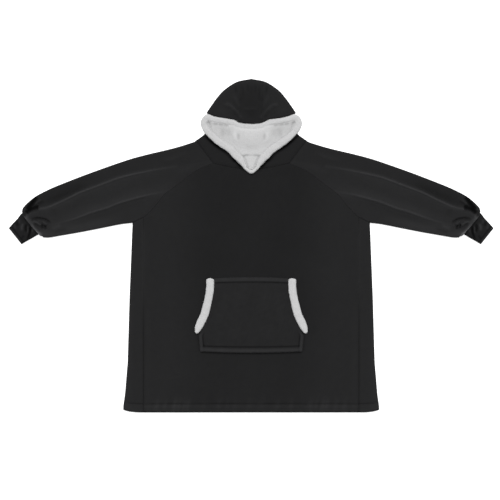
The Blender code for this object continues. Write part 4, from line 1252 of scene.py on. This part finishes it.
@dataclass
class Hood:
    """The hood, laid back and open: a middle strip and two sides, whose fronts meet under the chin."""

    wall: float = 5.0
    edge_height: float = 15.0
    rise: float = 20.0
    half_width: float = 172.0
    base_y: float = 457.0
    strip_x: float = 40.0
    crown: tuple[tuple[float, float], ...] = (
        (-168.0, 497.0), (-150.0, 523.5), (-128.5, 553.5), (-101.0, 583.5), (-54.0, 613.5), (0.0, 625.0),
    )
    brim: tuple[tuple[float, float], ...] = (
        (-165.0, 494.0), (-140.0, 486.0), (-106.0, 478.0), (-69.0, 473.0), (-42.0, 460.5), (0.0, 457.0),
    )
    mouth_low: tuple[tuple[float, float], ...] = (
        (-30.0, 292.0), (-46.0, 306.0), (-86.0, 349.0), (-129.0, 377.0), (-170.0, 409.0),
    )
    neck_low: tuple[tuple[float, float], ...] = (
        (-33.0, 288.5), (-80.0, 295.0), (-130.0, 304.5), (-154.0, 325.0), (-203.0, 389.0),
    )
    side_lines: int = 56
    strip_lines: int = 16
    lower_cells: int = 18
    upper_cells: int = 34
    fold_steps: int = 8
    creases: tuple[Crease, ...] = (
        Crease(6.5, 5.5, ((-104.0, 526.0), (-80.0, 525.0), (-60.0, 506.0), (-44.0, 487.0), (-30.0, 470.0)), 0.14, 9.0),
        Crease(6.5, 9.0, ((104.0, 526.0), (80.0, 525.0), (60.0, 506.0), (44.0, 487.0), (30.0, 470.0)), 0.14, 5.5),
        Crease(3.6, 8.0, ((-68.0, 572.0), (-57.0, 542.0), (-37.0, 503.0)), 0.35),
        Crease(3.6, 8.0, ((69.0, 572.0), (58.0, 542.0), (39.0, 506.0)), 0.35),
        Crease(-3.0, 8.0, ((-70.0, 505.0), (-54.0, 488.0), (-42.0, 472.0)), 0.3),
        Crease(-3.0, 8.0, ((70.0, 505.0), (54.0, 488.0), (42.0, 472.0)), 0.3),
        Crease(1.6, 5.0, ((1.0, 610.0), (1.0, 585.0), (2.0, 560.0)), 0.4),
        Crease(4.0, 4.5, ((-34.0, 508.0), (0.0, 510.0), (30.0, 508.0)), 0.3),
        Crease(-2.4, 9.0, ((-38.0, 556.0), (-36.0, 546.0), (-30.0, 534.0)), 0.35),
        Crease(-2.2, 9.0, ((34.0, 556.0), (33.0, 546.0), (28.0, 534.0)), 0.35),
        Crease(-1.8, 10.0, ((0.0, 500.0), (0.0, 486.0), (0.0, 470.0)), 0.35),
        Crease(1.8, 12.0, ((-140.0, 508.0), (-112.0, 500.0), (-84.0, 490.0)), 0.35),
        Crease(1.8, 12.0, ((140.0, 508.0), (112.0, 500.0), (84.0, 490.0)), 0.35),
    )

    # The X at the top of each narrow painted dark streak on the crown, and the Y where it ends.
    streaks: tuple[tuple[float, float], ...] = (
        (-60.0, 566.0), (-33.0, 548.0), (-13.0, 572.0), (2.0, 560.0), (17.0, 566.0), (32.0, 545.0), (56.0, 566.0),
    )

    def top(self, plan: np.ndarray) -> np.ndarray:
        """Height of the hood's upper layer at plan points."""
        x, y = plan[..., 0], plan[..., 1]
        reach = (x / self.half_width) ** 2 + ((y - self.base_y) / (625.0 - self.base_y)) ** 2
        crowned = self.edge_height + self.rise * np.maximum(0.0, 1 - reach)
        return crowned + sum(crease.rise(plan) for crease in self.creases) * np.clip(1.3 - reach, 0, 1)

    def nap(self, plan: np.ndarray) -> np.ndarray:
        """Painted light and shade on the crown: painted shade in its middle and painted light towards its edge, painted
        light and shade over the folds, and narrow painted dark streaks.
        """
        middle = np.exp(-((plan[..., 0] / 62.0) ** 2) - ((plan[..., 1] - 520.0) / 80.0) ** 2)
        folds = sum(crease.rise(plan) for crease in self.creases)
        streaks = sum(
            Crease(-3.2, 4.5, ((x, 606.0), (x * 0.96, 584.0), (x * 0.9, low)), 0.35).rise(plan) for x, low in self.streaks
        )
        edge = 1 - ramp((plan[..., 0] / 168.0) ** 2 + ((plan[..., 1] - 470.0) / 155.0) ** 2, 0.72, 1.0)
        return (1.08 - 0.08 * edge - 0.24 * middle) * opened(folds, 0.042) * opened(streaks, 0.085)

    def grids(
        self,
        ends: tuple[np.ndarray, np.ndarray, np.ndarray, np.ndarray],
        bow: float = 0.0,
        skin: float = 0.0,
        wall: float = 5.0,
    ) -> tuple[np.ndarray, np.ndarray]:
        """Cloth along the floor, round the crown and back over to the brim.

        Args:
            ends: For each line, its start at the neck seam, its crown, the way out of the crown, and its end.
            bow: How far the first line bows towards the middle on the floor.
            skin: How deep inside the hood's outer face the outside of this cloth lies.
            wall: How deep its inside lies.

        Returns:
            The outside and inside points.
        """
        bottoms, crown, outward, brim = ends
        tall = np.full(len(crown), self.edge_height)
        centre = crown - outward * self.edge_height / 2
        shares = np.linspace(0, 1, self.lower_cells + 1)
        under = across_rows(bottoms, centre, shares)
        fade = np.maximum(0.0, 1 - np.arange(len(crown)) / 34.0) ** 2
        under[..., 0] += bow * fade[:, None] * np.sin(np.pi * shares)[None, :]
        tail = np.array((0.97, 0.985, 0.995))
        over = across_rows(centre, brim, np.sort(np.concatenate([np.linspace(0, 1, self.upper_cells + 1), tail])))
        tops = self.top(over)
        tops[:, 0] = self.edge_height
        to_brim = np.linalg.norm(over - over[:, -1:], axis=-1)
        turned_in = seam_drop(to_brim, 1.8, 4.0)
        tops += turned_in
        made = []
        for depth in (skin, wall):
            upper = tops - depth - turned_in * 1.6 * (depth > 0)
            made.append(np.concatenate([
                with_height(under, depth), folded(crown, outward, tall, depth, self.fold_steps),
                with_height(over, upper if depth == 0 else np.maximum(upper, self.wall + 1.0)),
            ], axis=1))
        gap = np.minimum(np.arange(len(crown)), np.arange(len(crown))[::-1])[:, None] * 4.0
        made[0][:, self.lower_cells + 1 :, 2] += seam_drop(gap, 0.1, 6.0) * (skin == 0)
        return made[0], made[1]

    def declare(self, obj: bpy.types.Object, node: str, flat: tuple[float, float], area: float | None) -> None:
        """Hides the solid of a piece of the hood."""
        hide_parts(node)

    def straight_lines(self, x: np.ndarray) -> tuple[np.ndarray, np.ndarray, np.ndarray, np.ndarray]:
        """The ends of lines that run straight from the neck to the brim at these places across the hood."""
        crown, brim = curve_through(self.crown, 400), curve_through(self.brim, 400)
        edge = np.stack([x, np.interp(-np.abs(x), crown[:, 0], crown[:, 1])], axis=1)
        end = np.stack([x, np.interp(-np.abs(x), brim[:, 0], brim[:, 1])], axis=1)
        start = np.stack([x, neck_y(x, BACK_NECK_Y) + SEAM_GAP], axis=1)
        return start, edge, np.broadcast_to((0.0, 1.0), edge.shape), end

    def strip(self) -> bpy.types.Object:
        """Makes the middle strip, from the back neck seam to the brim, with the turned-in edges of its seams."""
        reach = self.strip_x - 0.02
        shape = Shape()
        outer, inner = self.grids(self.straight_lines(stops(-reach, reach, 2 * reach / self.strip_lines, reach=5.0)))
        shape.sheet(outer, inner, self.nap(outer))
        for seam in (-self.strip_x, self.strip_x):
            turned_edge = self.straight_lines(np.linspace(seam - 4.0, seam + 4.0, 4))
            shape.sheet(*self.grids(turned_edge, skin=self.wall + 0.15, wall=self.wall + 0.6))
        obj = shape.build("hood_center_cloth", FLEECE)
        self.declare(obj, "hood_center", (0.08, 0.48), None)
        return obj

    def side_cloth(self, side: Side) -> bpy.types.Object:
        """Makes one side, with its front below the mouth.

        Args:
            side: Which side.

        Returns:
            The object.
        """
        cut = -self.strip_x - 0.02
        lines = []
        for knots in (self.crown, self.brim):
            fine = curve_through(knots, 600)
            outside = fine[fine[:, 0] <= cut]
            lines.append(curve_through(outside[:: max(1, len(outside) // 60)], self.side_lines + 1))
        crown, brim = lines
        crown[-1, 0] = brim[-1, 0] = cut
        away = unit_rows(np.subtract(SHOULDER_POINT, NECK_CORNER)[::-1] * (1, -1))
        back = np.linspace(NECK_CORNER[0] + 6, cut, 9)
        run = np.vstack([
            np.add(SHOULDER_POINT, (7.0, -3.0)), np.add(NECK_CORNER, away * SEAM_GAP),
            np.stack([back, neck_y(back, BACK_NECK_Y) + SEAM_GAP], axis=1),
        ])
        length = np.concatenate([[0], np.cumsum(np.linalg.norm(np.diff(run, axis=0), axis=1))])
        at = np.linspace(0, length[-1], self.side_lines + 1)
        bottoms = np.stack([np.interp(at, length, column) for column in run.T], axis=1)
        step = np.gradient(crown, axis=0)
        normal = unit_rows(np.stack([-step[:, 1], step[:, 0]], axis=1))
        share = (np.linspace(0, 1, self.side_lines + 1) ** 2)[:, None]
        outward = unit_rows(normal * (1 - share) + np.array((0.0, 1.0)) * share)
        brim[0] = crown[0] + (12.0, -5.0)
        outer, inner = self.grids((bottoms, crown, outward, brim), bow=20.0)
        shape = Shape()
        shape.sheet(outer, inner, self.nap(outer))
        self.add_front(shape)
        name = "hood_side_" + side.word
        obj = shape.build(name + "_cloth", FLEECE, side)
        self.declare(obj, name, (0.3, 0.42), 0.062)
        return obj

    def add_front(self, shape: Shape) -> None:
        """Adds the front of one side, from the neck seam up to the mouth and round the side of the neck."""
        lines, cells = 96, 30
        front = np.linspace(self.neck_low[0][0], NECK_CORNER[0], 12)
        seam = np.vstack([np.stack([front, neck_y(front, FRONT_NECK_Y)], axis=1), self.neck_low[-1:]])
        mouth, neck = curve_through(self.mouth_low, lines + 1), evenly(seam, lines + 1)
        outward = unit_rows(np.subtract(SHOULDER_POINT, NECK_CORNER))
        neck_away = unit_rows(outward[::-1] * (1, -1))
        inside = neck[:, :1] > NECK_CORNER[0]
        on_front = np.stack([neck[:, 0], neck_y(neck[:, 0], FRONT_NECK_Y) + SEAM_GAP * 2], axis=1)
        neck = np.where(inside, on_front, neck + neck_away * SEAM_GAP * 2)
        across = np.concatenate([[0, 0.02, 0.05, 0.09], np.linspace(0.14, 1, cells - 3)])
        plan = across_rows(neck, mouth, across)
        level = TOP + 6.0 * across
        to_neck = np.linalg.norm(plan - plan[:, :1], axis=-1)
        height = level[None, :] + seam_drop(to_neck, 1.2, 5.0)
        height = height + 1.2 * np.exp(-(((to_neck - 12.0) / 8.0) ** 2))
        to_mouth = np.linalg.norm(plan - plan[:, -1:], axis=-1)
        height = height + seam_drop(to_mouth, 6.0, 11.0)
        outer = [with_height(plan, height)]
        inner = [with_height(plan, np.minimum(level[None, :], height) - self.wall + 0.8)]
        ends = plan[-1]
        radius = level / 2
        for k in range(1, 9):
            angle = math.pi * k / 8
            for made, reach in ((outer, radius - 0.4), (inner, radius - self.wall)):
                flat = ends + outward * (reach * math.sin(angle))[:, None]
                made.append(with_height(flat, radius + reach * math.cos(angle))[None])
        for reach in (0.25, 0.5, 0.75, 1.0):
            flat = ends - outward * 24.0 * reach
            outer.append(with_height(flat, 0.4)[None])
            inner.append(with_height(flat, self.wall - 0.6)[None])
        every = np.concatenate(outer)
        # The front below the mouth is a little darker, with painted shadow under the trim's lower edge.
        shape.sheet(every, np.concatenate(inner), 0.86 * trim_shade(every))

    def dress(self) -> list[bpy.types.Object]:
        """Makes the strip and the two sides."""
        return [self.strip(), self.side_cloth(Side.RIGHT), self.side_cloth(Side.LEFT)]


@dataclass
class SherpaBand:
    """A turned-out band of curly pile along an edge."""

    name: str
    node: str
    knots: tuple[tuple[float, float, float, float], ...]
    thickness: float
    closed: bool
    side: Side = Side.RIGHT
    step: float = 1.9
    sides: int = 34
    tufts: Tufts = Tufts(2.4, 5.2, 3.0)

    def dress(self) -> list[bpy.types.Object]:
        """Makes the band."""
        knots = np.array(self.knots, float)
        if self.closed:
            knots = np.vstack([knots, knots[-2:0:-1] * (-1, 1, 1, 1)])
            ring = np.vstack([knots[-3:], knots, knots[:4]])
            fine = curve_through(ring, 4000)
            first = int(np.argmin(np.linalg.norm(fine[:2000, :2] - knots[0, :2], axis=1)))
            last = 2000 + int(np.argmin(np.linalg.norm(fine[2000:, :2] - knots[0, :2], axis=1)))
            fine = fine[first : last + 1]
        else:
            fine = curve_through(knots, 1500)
        run = np.concatenate([[0], np.cumsum(np.linalg.norm(np.diff(fine[:, :2], axis=0), axis=1))])
        count = int(run[-1] / self.step)
        at = np.linspace(0, run[-1], count, endpoint=not self.closed)
        path = np.stack([np.interp(at, run, column) for column in fine.T], axis=1)
        centre, width = path[:, :3], path[:, 3]
        if not self.closed:
            centre[:, 2] += lying(centre[:, :2]) + 0.4
        way = np.roll(centre, -1, 0) - np.roll(centre, 1, 0) if self.closed else np.gradient(centre, axis=0)
        across = unit_rows(np.stack([-way[:, 1], way[:, 0]], axis=1))
        angle = np.linspace(0, 2 * math.pi, self.sides, endpoint=False)
        section = np.stack([np.cos(angle), np.sin(angle)], axis=1)
        section = np.sign(section) * np.abs(section) ** 0.8
        girth = 2 * (width.mean() + self.thickness) * 0.8
        u, v = np.meshgrid(at, angle / (2 * math.pi) * girth, indexing="ij")
        lump = self.tufts.rise(u, v, girth) - self.tufts.height * 0.6
        lump += Waves(0.5, 34.0, 5).rise(np.stack([u, v], axis=-1))
        if not self.closed:
            ends = np.minimum(at, run[-1] - at)
            width = width * np.sqrt(np.clip(ends / 5.0, 0.02, 1))
            lump *= np.clip(ends / 6.0, 0, 1)[:, None]
        wide = width[:, None] / 2 * section[None, :, 0] + lump * np.cos(angle)
        tall = self.thickness / 2 * section[None, :, 1] + lump * np.sin(angle)
        if not self.closed:
            tall = tall * np.sqrt(np.clip(ends / 5.0, 0.05, 1))[:, None]
        tall = np.maximum(tall, -self.thickness / 2)
        plan = centre[:, None, :2] + across[:, None, :] * wide[..., None]
        rings = with_height(plan, centre[:, None, 2] + tall)
        shape = Shape()
        shape.bar(rings, wrap=self.closed, nap=0.95)
        obj = shape.build(self.name, SHERPA, self.side)
        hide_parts(self.node)
        return [obj]


@dataclass
class Linings:
    """The sherpa that shows inside the mouth: the hood's, and the body's below the back neck seam."""

    edge: tuple[tuple[float, float], ...] = (
        (341.0, 82.0), (365.0, 106.0), (390.0, 130.0), (412.0, 146.0), (435.0, 163.0), (460.0, 168.0),
        (482.0, 160.0), (500.0, 132.0),
    )
    base: float = 5.2
    step: float = 2.2
    tufts: Tufts = Tufts(2.0, 5.2, 8.0)
    folds: tuple[Crease, ...] = (
        Crease(-3.6, 5.0, ((-47.0, 424.0), (-48.5, 406.0), (-47.0, 390.0)), 0.35),
        Crease(-3.6, 5.0, ((48.5, 424.0), (49.5, 406.0), (48.0, 390.0)), 0.35),
        Crease(-2.0, 9.0, ((-98.0, 448.0), (-108.0, 425.0), (-112.0, 400.0)), 0.35),
        Crease(-2.0, 9.0, ((98.0, 448.0), (108.0, 425.0), (112.0, 400.0)), 0.35),
        Crease(1.6, 10.0, ((-124.0, 440.0), (-122.0, 420.0), (-118.0, 402.0)), 0.35),
        Crease(1.6, 10.0, ((124.0, 440.0), (122.0, 420.0), (118.0, 402.0)), 0.35),
        Crease(2.2, 7.0, ((-62.0, 436.0), (-60.0, 410.0), (-52.0, 384.0)), 0.35),
        Crease(2.2, 7.0, ((62.0, 436.0), (60.0, 410.0), (52.0, 384.0)), 0.35),
        Crease(-1.6, 10.0, ((-86.0, 444.0), (-84.0, 424.0), (-82.0, 404.0)), 0.35),
        Crease(-1.6, 10.0, ((86.0, 444.0), (84.0, 424.0), (82.0, 404.0)), 0.35),
        Crease(-1.2, 12.0, ((-34.0, 372.0), (0.0, 364.0), (34.0, 372.0)), 0.35),
    )
    # How dark the painted shadow marks under the brim's band are, along X.
    marks: tuple[tuple[float, float], ...] = (
        (82.0, 0.0), (88.0, 0.6), (98.0, 0.7), (103.0, 0.3), (108.0, 0.7), (118.0, 0.8), (123.0, 0.3), (128.0, 0.8),
        (138.0, 0.8), (143.0, 0.2), (149.0, 0.2), (154.0, 0.8), (172.0, 1.0), (178.0, 0.0),
    )

    # Where the painted shadow marks under the brim's band lie, along X.
    brim_shadow_line: tuple[tuple[float, float], ...] = ((0.0, 448.0), (88.0, 450.5), (135.0, 455.5), (162.0, 463.0))

    def painted_seam_shade(self, x: np.ndarray, distance: np.ndarray) -> np.ndarray:
        """Painted shade along the back neck seam, fainter in the middle."""
        return painted_line_shade(distance, 0.06 + 0.2 * ramp(np.abs(x), 6.0, 14.0), 4.5)

    def seam_line(self, x: np.ndarray) -> np.ndarray:
        """Where the two linings meet: along the back neck seam, straight where the mouth shows it."""
        return np.minimum(neck_y(x, BACK_NECK_Y), 338.0 + 0.35 * np.maximum(0.0, np.abs(x) - 34.0) ** 1.2)

    def hood_lining(self) -> bpy.types.Object:
        """Makes the lining of the hood that the open mouth shows, on under the trim all round."""
        y = stops(self.edge[0][0], self.edge[-1][0], self.step, reach=4.0)
        half = lookup(self.edge, y)[:, None]
        u = np.linspace(-1, 1, int(2 * 160.0 / self.step))[None, :]
        x = u * half
        seam = self.seam_line(x) - 3.0
        level = y[:, None] + (seam - y[0]) * np.maximum(0.0, 1 - (y[:, None] - y[0]) / 45.0)
        plan = np.stack([x, level], axis=-1)
        from_seam = level - seam
        swell = np.exp(-((x / 50.0) ** 2) - ((level - 408.0) / 46.0) ** 2)
        hollow = np.exp(-(((np.abs(x) - 118.0) / 34.0) ** 2) - ((level - 432.0) / 30.0) ** 2)
        folds = sum(fold.rise(plan) for fold in self.folds)
        height = 6.6 + 7.5 * swell - 1.6 * hollow + folds + seam_drop(from_seam, 3.6, 8.0)
        brim = curve_through(MOUTH_TRIM[: TRIM_SIDE + 1], 60)
        mirrored = np.stack([-np.abs(x), level], axis=-1)
        under_trim, along, _ = nearest_on(mirrored, brim)
        reached = lookup(np.column_stack([np.linspace(0, 1, 60), brim[:, 2]]), along) + 3.5 - self.base
        reached += 3.0 * (1 - ramp(np.abs(x), 50.0, 84.0))
        above = level - lookup(np.column_stack([-brim[:, 0], brim[:, 1]]), np.abs(x))
        lift = np.maximum(0.0, reached - height) * (1 - ramp(under_trim, 12.0, 96.0)) ** 1.4
        height += lift * (1 - ramp(above, -2.0, 5.0))
        height += self.tufts.rise(x, level) - 1.2
        outer = with_height(plan, self.base + np.maximum(height, 1.2))
        # Painted shade in the hollows, in the folds' troughs, in marks under the brim's band, at the mouth's corners
        # and along the back neck seam; painted light on the folds' ridges, on the swell and along the crevice under the
        # trim.
        marks = lookup(self.marks, np.abs(x)) * np.exp(-(((level - lookup(self.brim_shadow_line, np.abs(x))) / 5.0) ** 2))
        crevice = np.exp(-(((under_trim - 10.0) / 4.5) ** 2)) * (1 - ramp(np.abs(x), 60.0, 90.0))
        tone = (1 - 0.1 * hollow) * opened(folds, 0.05) * (1 - 0.42 * marks) * (1 + 0.05 * swell + 0.05 * crevice)
        tone *= painted_line_shade(np.hypot(np.abs(x) - 155.0, level - 454.0), 0.16, 12.0) * self.painted_seam_shade(x, from_seam - 3.0)
        shape = Shape()
        shape.sheet(outer, with_height(plan, self.base), tone)
        obj = shape.build("hood_lining_cloth", SHERPA)
        self.declare(obj, "hood_lining", (0.34, 0.16))
        return obj

    def neck_lining(self) -> bpy.types.Object:
        """Makes the lining of the body's back that shows below the back neck seam."""
        x = np.linspace(-62.0, 62.0, 60)
        side = lookup(Hood().mouth_low, -np.abs(x))
        low = np.maximum(neck_y(x, FRONT_NECK_Y), np.where(np.abs(x) > 30.0, side, 0.0)) + 1.0
        high = self.seam_line(x)
        share = np.linspace(0, 1, 26)
        plan = np.stack([x[None, :] + 0 * share[:, None], low + (high - low) * share[:, None]], axis=-1)
        base = WALL + SEAM_GAP
        to_seam = high[None, :] - plan[..., 1]
        height = 5.6 + self.tufts.rise(plan[..., 0], plan[..., 1]) - 1.0 + seam_drop(to_seam, 1.2, 5.0)
        outer = with_height(plan, base + height)
        # Painted shade along the back neck seam and beside the trim on each side.
        beside = np.abs(plan[..., 0]) - lookup(((284.0, 9.0), (300.0, 13.0), (322.0, 20.0), (340.0, 30.0)), plan[..., 1])
        tone = self.painted_seam_shade(plan[..., 0], to_seam) * painted_line_shade(beside, 0.2, 3.0)
        shape = Shape()
        shape.sheet(outer, with_height(plan, base), tone)
        obj = shape.build("neck_lining_cloth", SHERPA)
        self.declare(obj, "neck_lining", (0.136, 0.056))
        return obj

    def declare(self, obj: bpy.types.Object, node: str, flat: tuple[float, float]) -> None:
        """Hides the solid of a lining."""
        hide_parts(node)

    def dress(self) -> list[bpy.types.Object]:
        """Makes both linings."""
        return [self.hood_lining(), self.neck_lining()]


@dataclass
class Pocket:
    """The kangaroo pocket, sewn on along its top, its bottom and the lower part of its sides."""

    front: FrontPanel
    edge: tuple[tuple[float, float], ...] = (
        (-139.0, -122.5), (-140.0, -161.0), (-147.5, -205.0), (-158.0, -255.0), (-172.0, -288.0), (-197.0, -337.0),
    )
    thickness: float = 5.0
    top_hem: float = 17.0
    bottom_hem: float = 21.0
    side_hem: float = 14.0
    creases: tuple[Crease, ...] = (
        Crease(2.2, 16.0, ((-92.0, -170.0), (-110.0, -250.0), (-130.0, -320.0)), 0.35),
        Crease(2.0, 15.0, ((-44.0, -150.0), (-52.0, -200.0), (-48.0, -250.0)), 0.35),
        Crease(2.2, 16.0, ((88.0, -170.0), (108.0, -250.0), (132.0, -322.0)), 0.35),
        Crease(2.0, 15.0, ((46.0, -150.0), (54.0, -205.0), (44.0, -262.0)), 0.35),
        Crease(1.8, 20.0, ((-60.0, -370.0), (-52.0, -330.0), (-58.0, -290.0)), 0.35),
        Crease(1.8, 20.0, ((52.0, -370.0), (58.0, -330.0), (50.0, -296.0)), 0.35),
        Crease(-1.4, 14.0, ((0.0, -160.0), (-4.0, -220.0), (2.0, -300.0)), 0.35),
    )

    def groove(self, distance: np.ndarray) -> np.ndarray:
        """How far a line of stitching draws the cloth down at this distance from it."""
        return -2.2 * np.exp(-((distance / 2.4) ** 2))

    def dress(self) -> list[bpy.types.Object]:
        """Makes the pocket and its stitching."""
        side = np.vstack([curve_through(self.edge, 300)[:-1], np.linspace(self.edge[-1], POCKET_CORNER, 80)])
        length = np.concatenate([[0], np.cumsum(np.linalg.norm(np.diff(side, axis=0), axis=1))])
        at = stops(0.0, length[-1], 5.0, (self.top_hem, length[-1] - self.bottom_hem), 6.0)
        x_edge, y_edge = (np.interp(at, length, column) for column in side.T)
        share = at / length[-1]
        sag = 4.0 * (1 - share) - POCKET_SAG * share
        base_line = stops(-190.0, 190.0, 5.0, (-190.0 + self.side_hem, 190.0 - self.side_hem), 6.0)
        u = base_line / 190.0
        x = -x_edge[:, None] * u[None, :]
        y = y_edge[:, None] + sag[:, None] * (1 - u**2)[None, :]
        plan = np.stack([x, y], axis=-1)
        from_top = at[:, None] + 0 * x
        from_bottom = length[-1] - from_top
        aside = (1 - np.abs(u))[None, :] * 190.0
        sewn = ramp(-plan[..., 1], 322.0, 336.0)
        base = TOP + SEAM_GAP + self.front.rise(plan) + 0.2
        body = sum(crease.rise(plan) for crease in self.creases)
        bulge = 3.4 * np.sin(np.pi * np.clip(share, 0, 1))[:, None] * np.cos(np.pi / 2 * u)[None, :] ** 0.7
        inside = ramp(from_top, self.top_hem, self.top_hem + 26) * ramp(from_bottom, self.bottom_hem, self.bottom_hem + 26)
        lift = (body + bulge) * inside * (1 - sewn * (1 - ramp(aside, 14.0, 44.0)))
        height = base + self.thickness + lift
        across_hem = ramp(aside, self.side_hem - 4.0, self.side_hem)
        height += self.groove(from_top - self.top_hem) + self.groove(from_bottom - self.bottom_hem) * across_hem
        height += self.groove(aside - self.side_hem) * sewn
        height += seam_drop(from_top, 3.6, 4.0) + seam_drop(from_bottom, 3.6, 4.0) + seam_drop(aside, 3.4, 4.0) * sewn
        under = base + lift
        # Painted light on the raised hems, painted shade along the stitching grooves, and painted light and shade over
        # the folds; the mottling is the pile's own uneven tone.
        hems = 0.42 * np.exp(-(((from_top - 8.0) / 7.5) ** 4)) + 0.58 * np.exp(-(((from_bottom - 10.5) / 8.5) ** 4))
        nap = 1.0 + np.maximum(hems, 0.46 * sewn * np.exp(-(((aside - 7.0) / 6.0) ** 4)))
        within = ramp(aside, self.side_hem - 4.0, self.side_hem)
        nap *= painted_line_shade(from_top - self.top_hem - 1.0, 0.42, 3.0)
        nap *= painted_line_shade(from_bottom - self.bottom_hem - 1.0, 0.36, 3.0) ** within
        nap *= painted_line_shade(np.minimum(aside - self.side_hem - 1.0, from_bottom - self.bottom_hem + 4.0), 0.36, 3.0) ** sewn
        mottled = Waves(1.0, 60.0, 33).rise(plan) + 1.3 * Waves(1.0, 21.0, 8).rise(plan)
        nap *= opened(body * inside, 0.025) * (1 + 0.02 * mottled)
        shape = Shape()
        surface = with_height(plan, height)
        shape.sheet(surface, with_height(plan, under), nap)
        obj = shape.build("pocket_cloth", FLEECE)
        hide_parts("pocket")
        top = int(np.argmin(np.abs(at - self.top_hem)))
        bottom = int(np.argmin(np.abs(length[-1] - at - self.bottom_hem)))
        left = int(np.argmin(np.abs(base_line + 190.0 - self.side_hem)))
        right = int(np.argmin(np.abs(base_line - 190.0 + self.side_hem)))
        low = np.flatnonzero(y_edge < -334.0)
        low = low[low <= bottom]
        raised = surface + (0, 0, 0.3)
        lines = [
            raised[top, 4:-4], raised[bottom, left : right + 1], raised[low][:, left], raised[low][:, right],
        ]
        thread = Stitching("pocket_stitching").dress(lines)
        return [obj, thread]


@dataclass
class Studio:
    """The floor, the light and the camera straight above."""

    horizon: float = 1.0
    zenith: float = 0.45
    key: float = 2.5
    key_tilt: float = 24.0
    key_softness: float = 40.0
    height: float = 8.0
    lens: float = 153.6

    def sky(self) -> bpy.types.World:
        """Makes soft light from all round, brightest at the horizon."""
        world = bpy.data.worlds.new("studio")
        world.use_nodes = True
        tree = world.node_tree
        place = tree.nodes.new("ShaderNodeTexCoord")
        split = tree.nodes.new("ShaderNodeSeparateXYZ")
        tree.links.new(place.outputs["Generated"], split.inputs[0])
        fall = tree.nodes.new("ShaderNodeMapRange")
        fall.interpolation_type = "SMOOTHSTEP"
        fall.inputs["From Min"].default_value = 0.05
        fall.inputs["From Max"].default_value = 0.5
        fall.inputs["To Min"].default_value = self.horizon
        fall.inputs["To Max"].default_value = self.zenith
        tree.links.new(split.outputs["Z"], fall.inputs["Value"])
        background = tree.nodes["Background"]
        background.inputs["Color"].default_value = (1, 1, 1, 1)
        tree.links.new(fall.outputs[0], background.inputs["Strength"])
        return world

    def dress(self) -> None:
        """Makes the floor, the lights and the camera."""
        mesh = bpy.data.meshes.new("floor")
        reach = 12.0
        mesh.from_pydata([(-reach, -reach, 0), (reach, -reach, 0), (reach, reach, 0), (-reach, reach, 0)], [], [(0, 1, 2, 3)])
        mesh.materials.append(WARDROBE.material(FLOOR))
        floor = bpy.data.objects.new("floor", mesh)
        floor.location.z = -0.0005
        bpy.context.collection.objects.link(floor)
        bpy.context.scene.world = self.sky()
        lamp = bpy.data.lights.new("key", "SUN")
        lamp.energy = self.key
        lamp.angle = math.radians(self.key_softness)
        key = bpy.data.objects.new("key", lamp)
        key.rotation_euler = (math.radians(-self.key_tilt), 0, 0)
        bpy.context.collection.objects.link(key)
        lens = bpy.data.cameras.new("camera")
        lens.lens = self.lens
        lens.sensor_width = 36.0
        camera = bpy.data.objects.new("camera", lens)
        camera.location = (-0.0045, -0.0165, self.height)
        bpy.context.collection.objects.link(camera)
        bpy.context.scene.camera = camera
        bpy.context.scene.view_settings.view_transform = "Standard"


def main() -> None:
    """Builds every piece and reports it."""
    logging.basicConfig(level=logging.INFO, format="%(message)s")
    front = FrontPanel()
    makers = [
        BackPanel(), front, Sleeve(Side.RIGHT), Sleeve(Side.LEFT), Cuff(Side.RIGHT), Cuff(Side.LEFT), Hood(), Linings(),
        SherpaBand("hood_trim_pile", "hood_trim", MOUTH_TRIM, 14.0, closed=True), Pocket(front),
    ]
    makers += [
        SherpaBand(f"pocket_trim_{side.word}_pile", f"pocket_trim_{side.word}", POCKET_TRIM, 13.0, False, side)
        for side in Side
    ]
    for maker in makers:
        for piece in maker.dress():
            logging.info("%s: %d faces", piece.name, len(piece.data.polygons))
    Studio().dress()
    for name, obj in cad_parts.items():
        logging.info("solid %s: hidden %s", name, obj.hide_render)


if __name__ == "__main__":
    main()
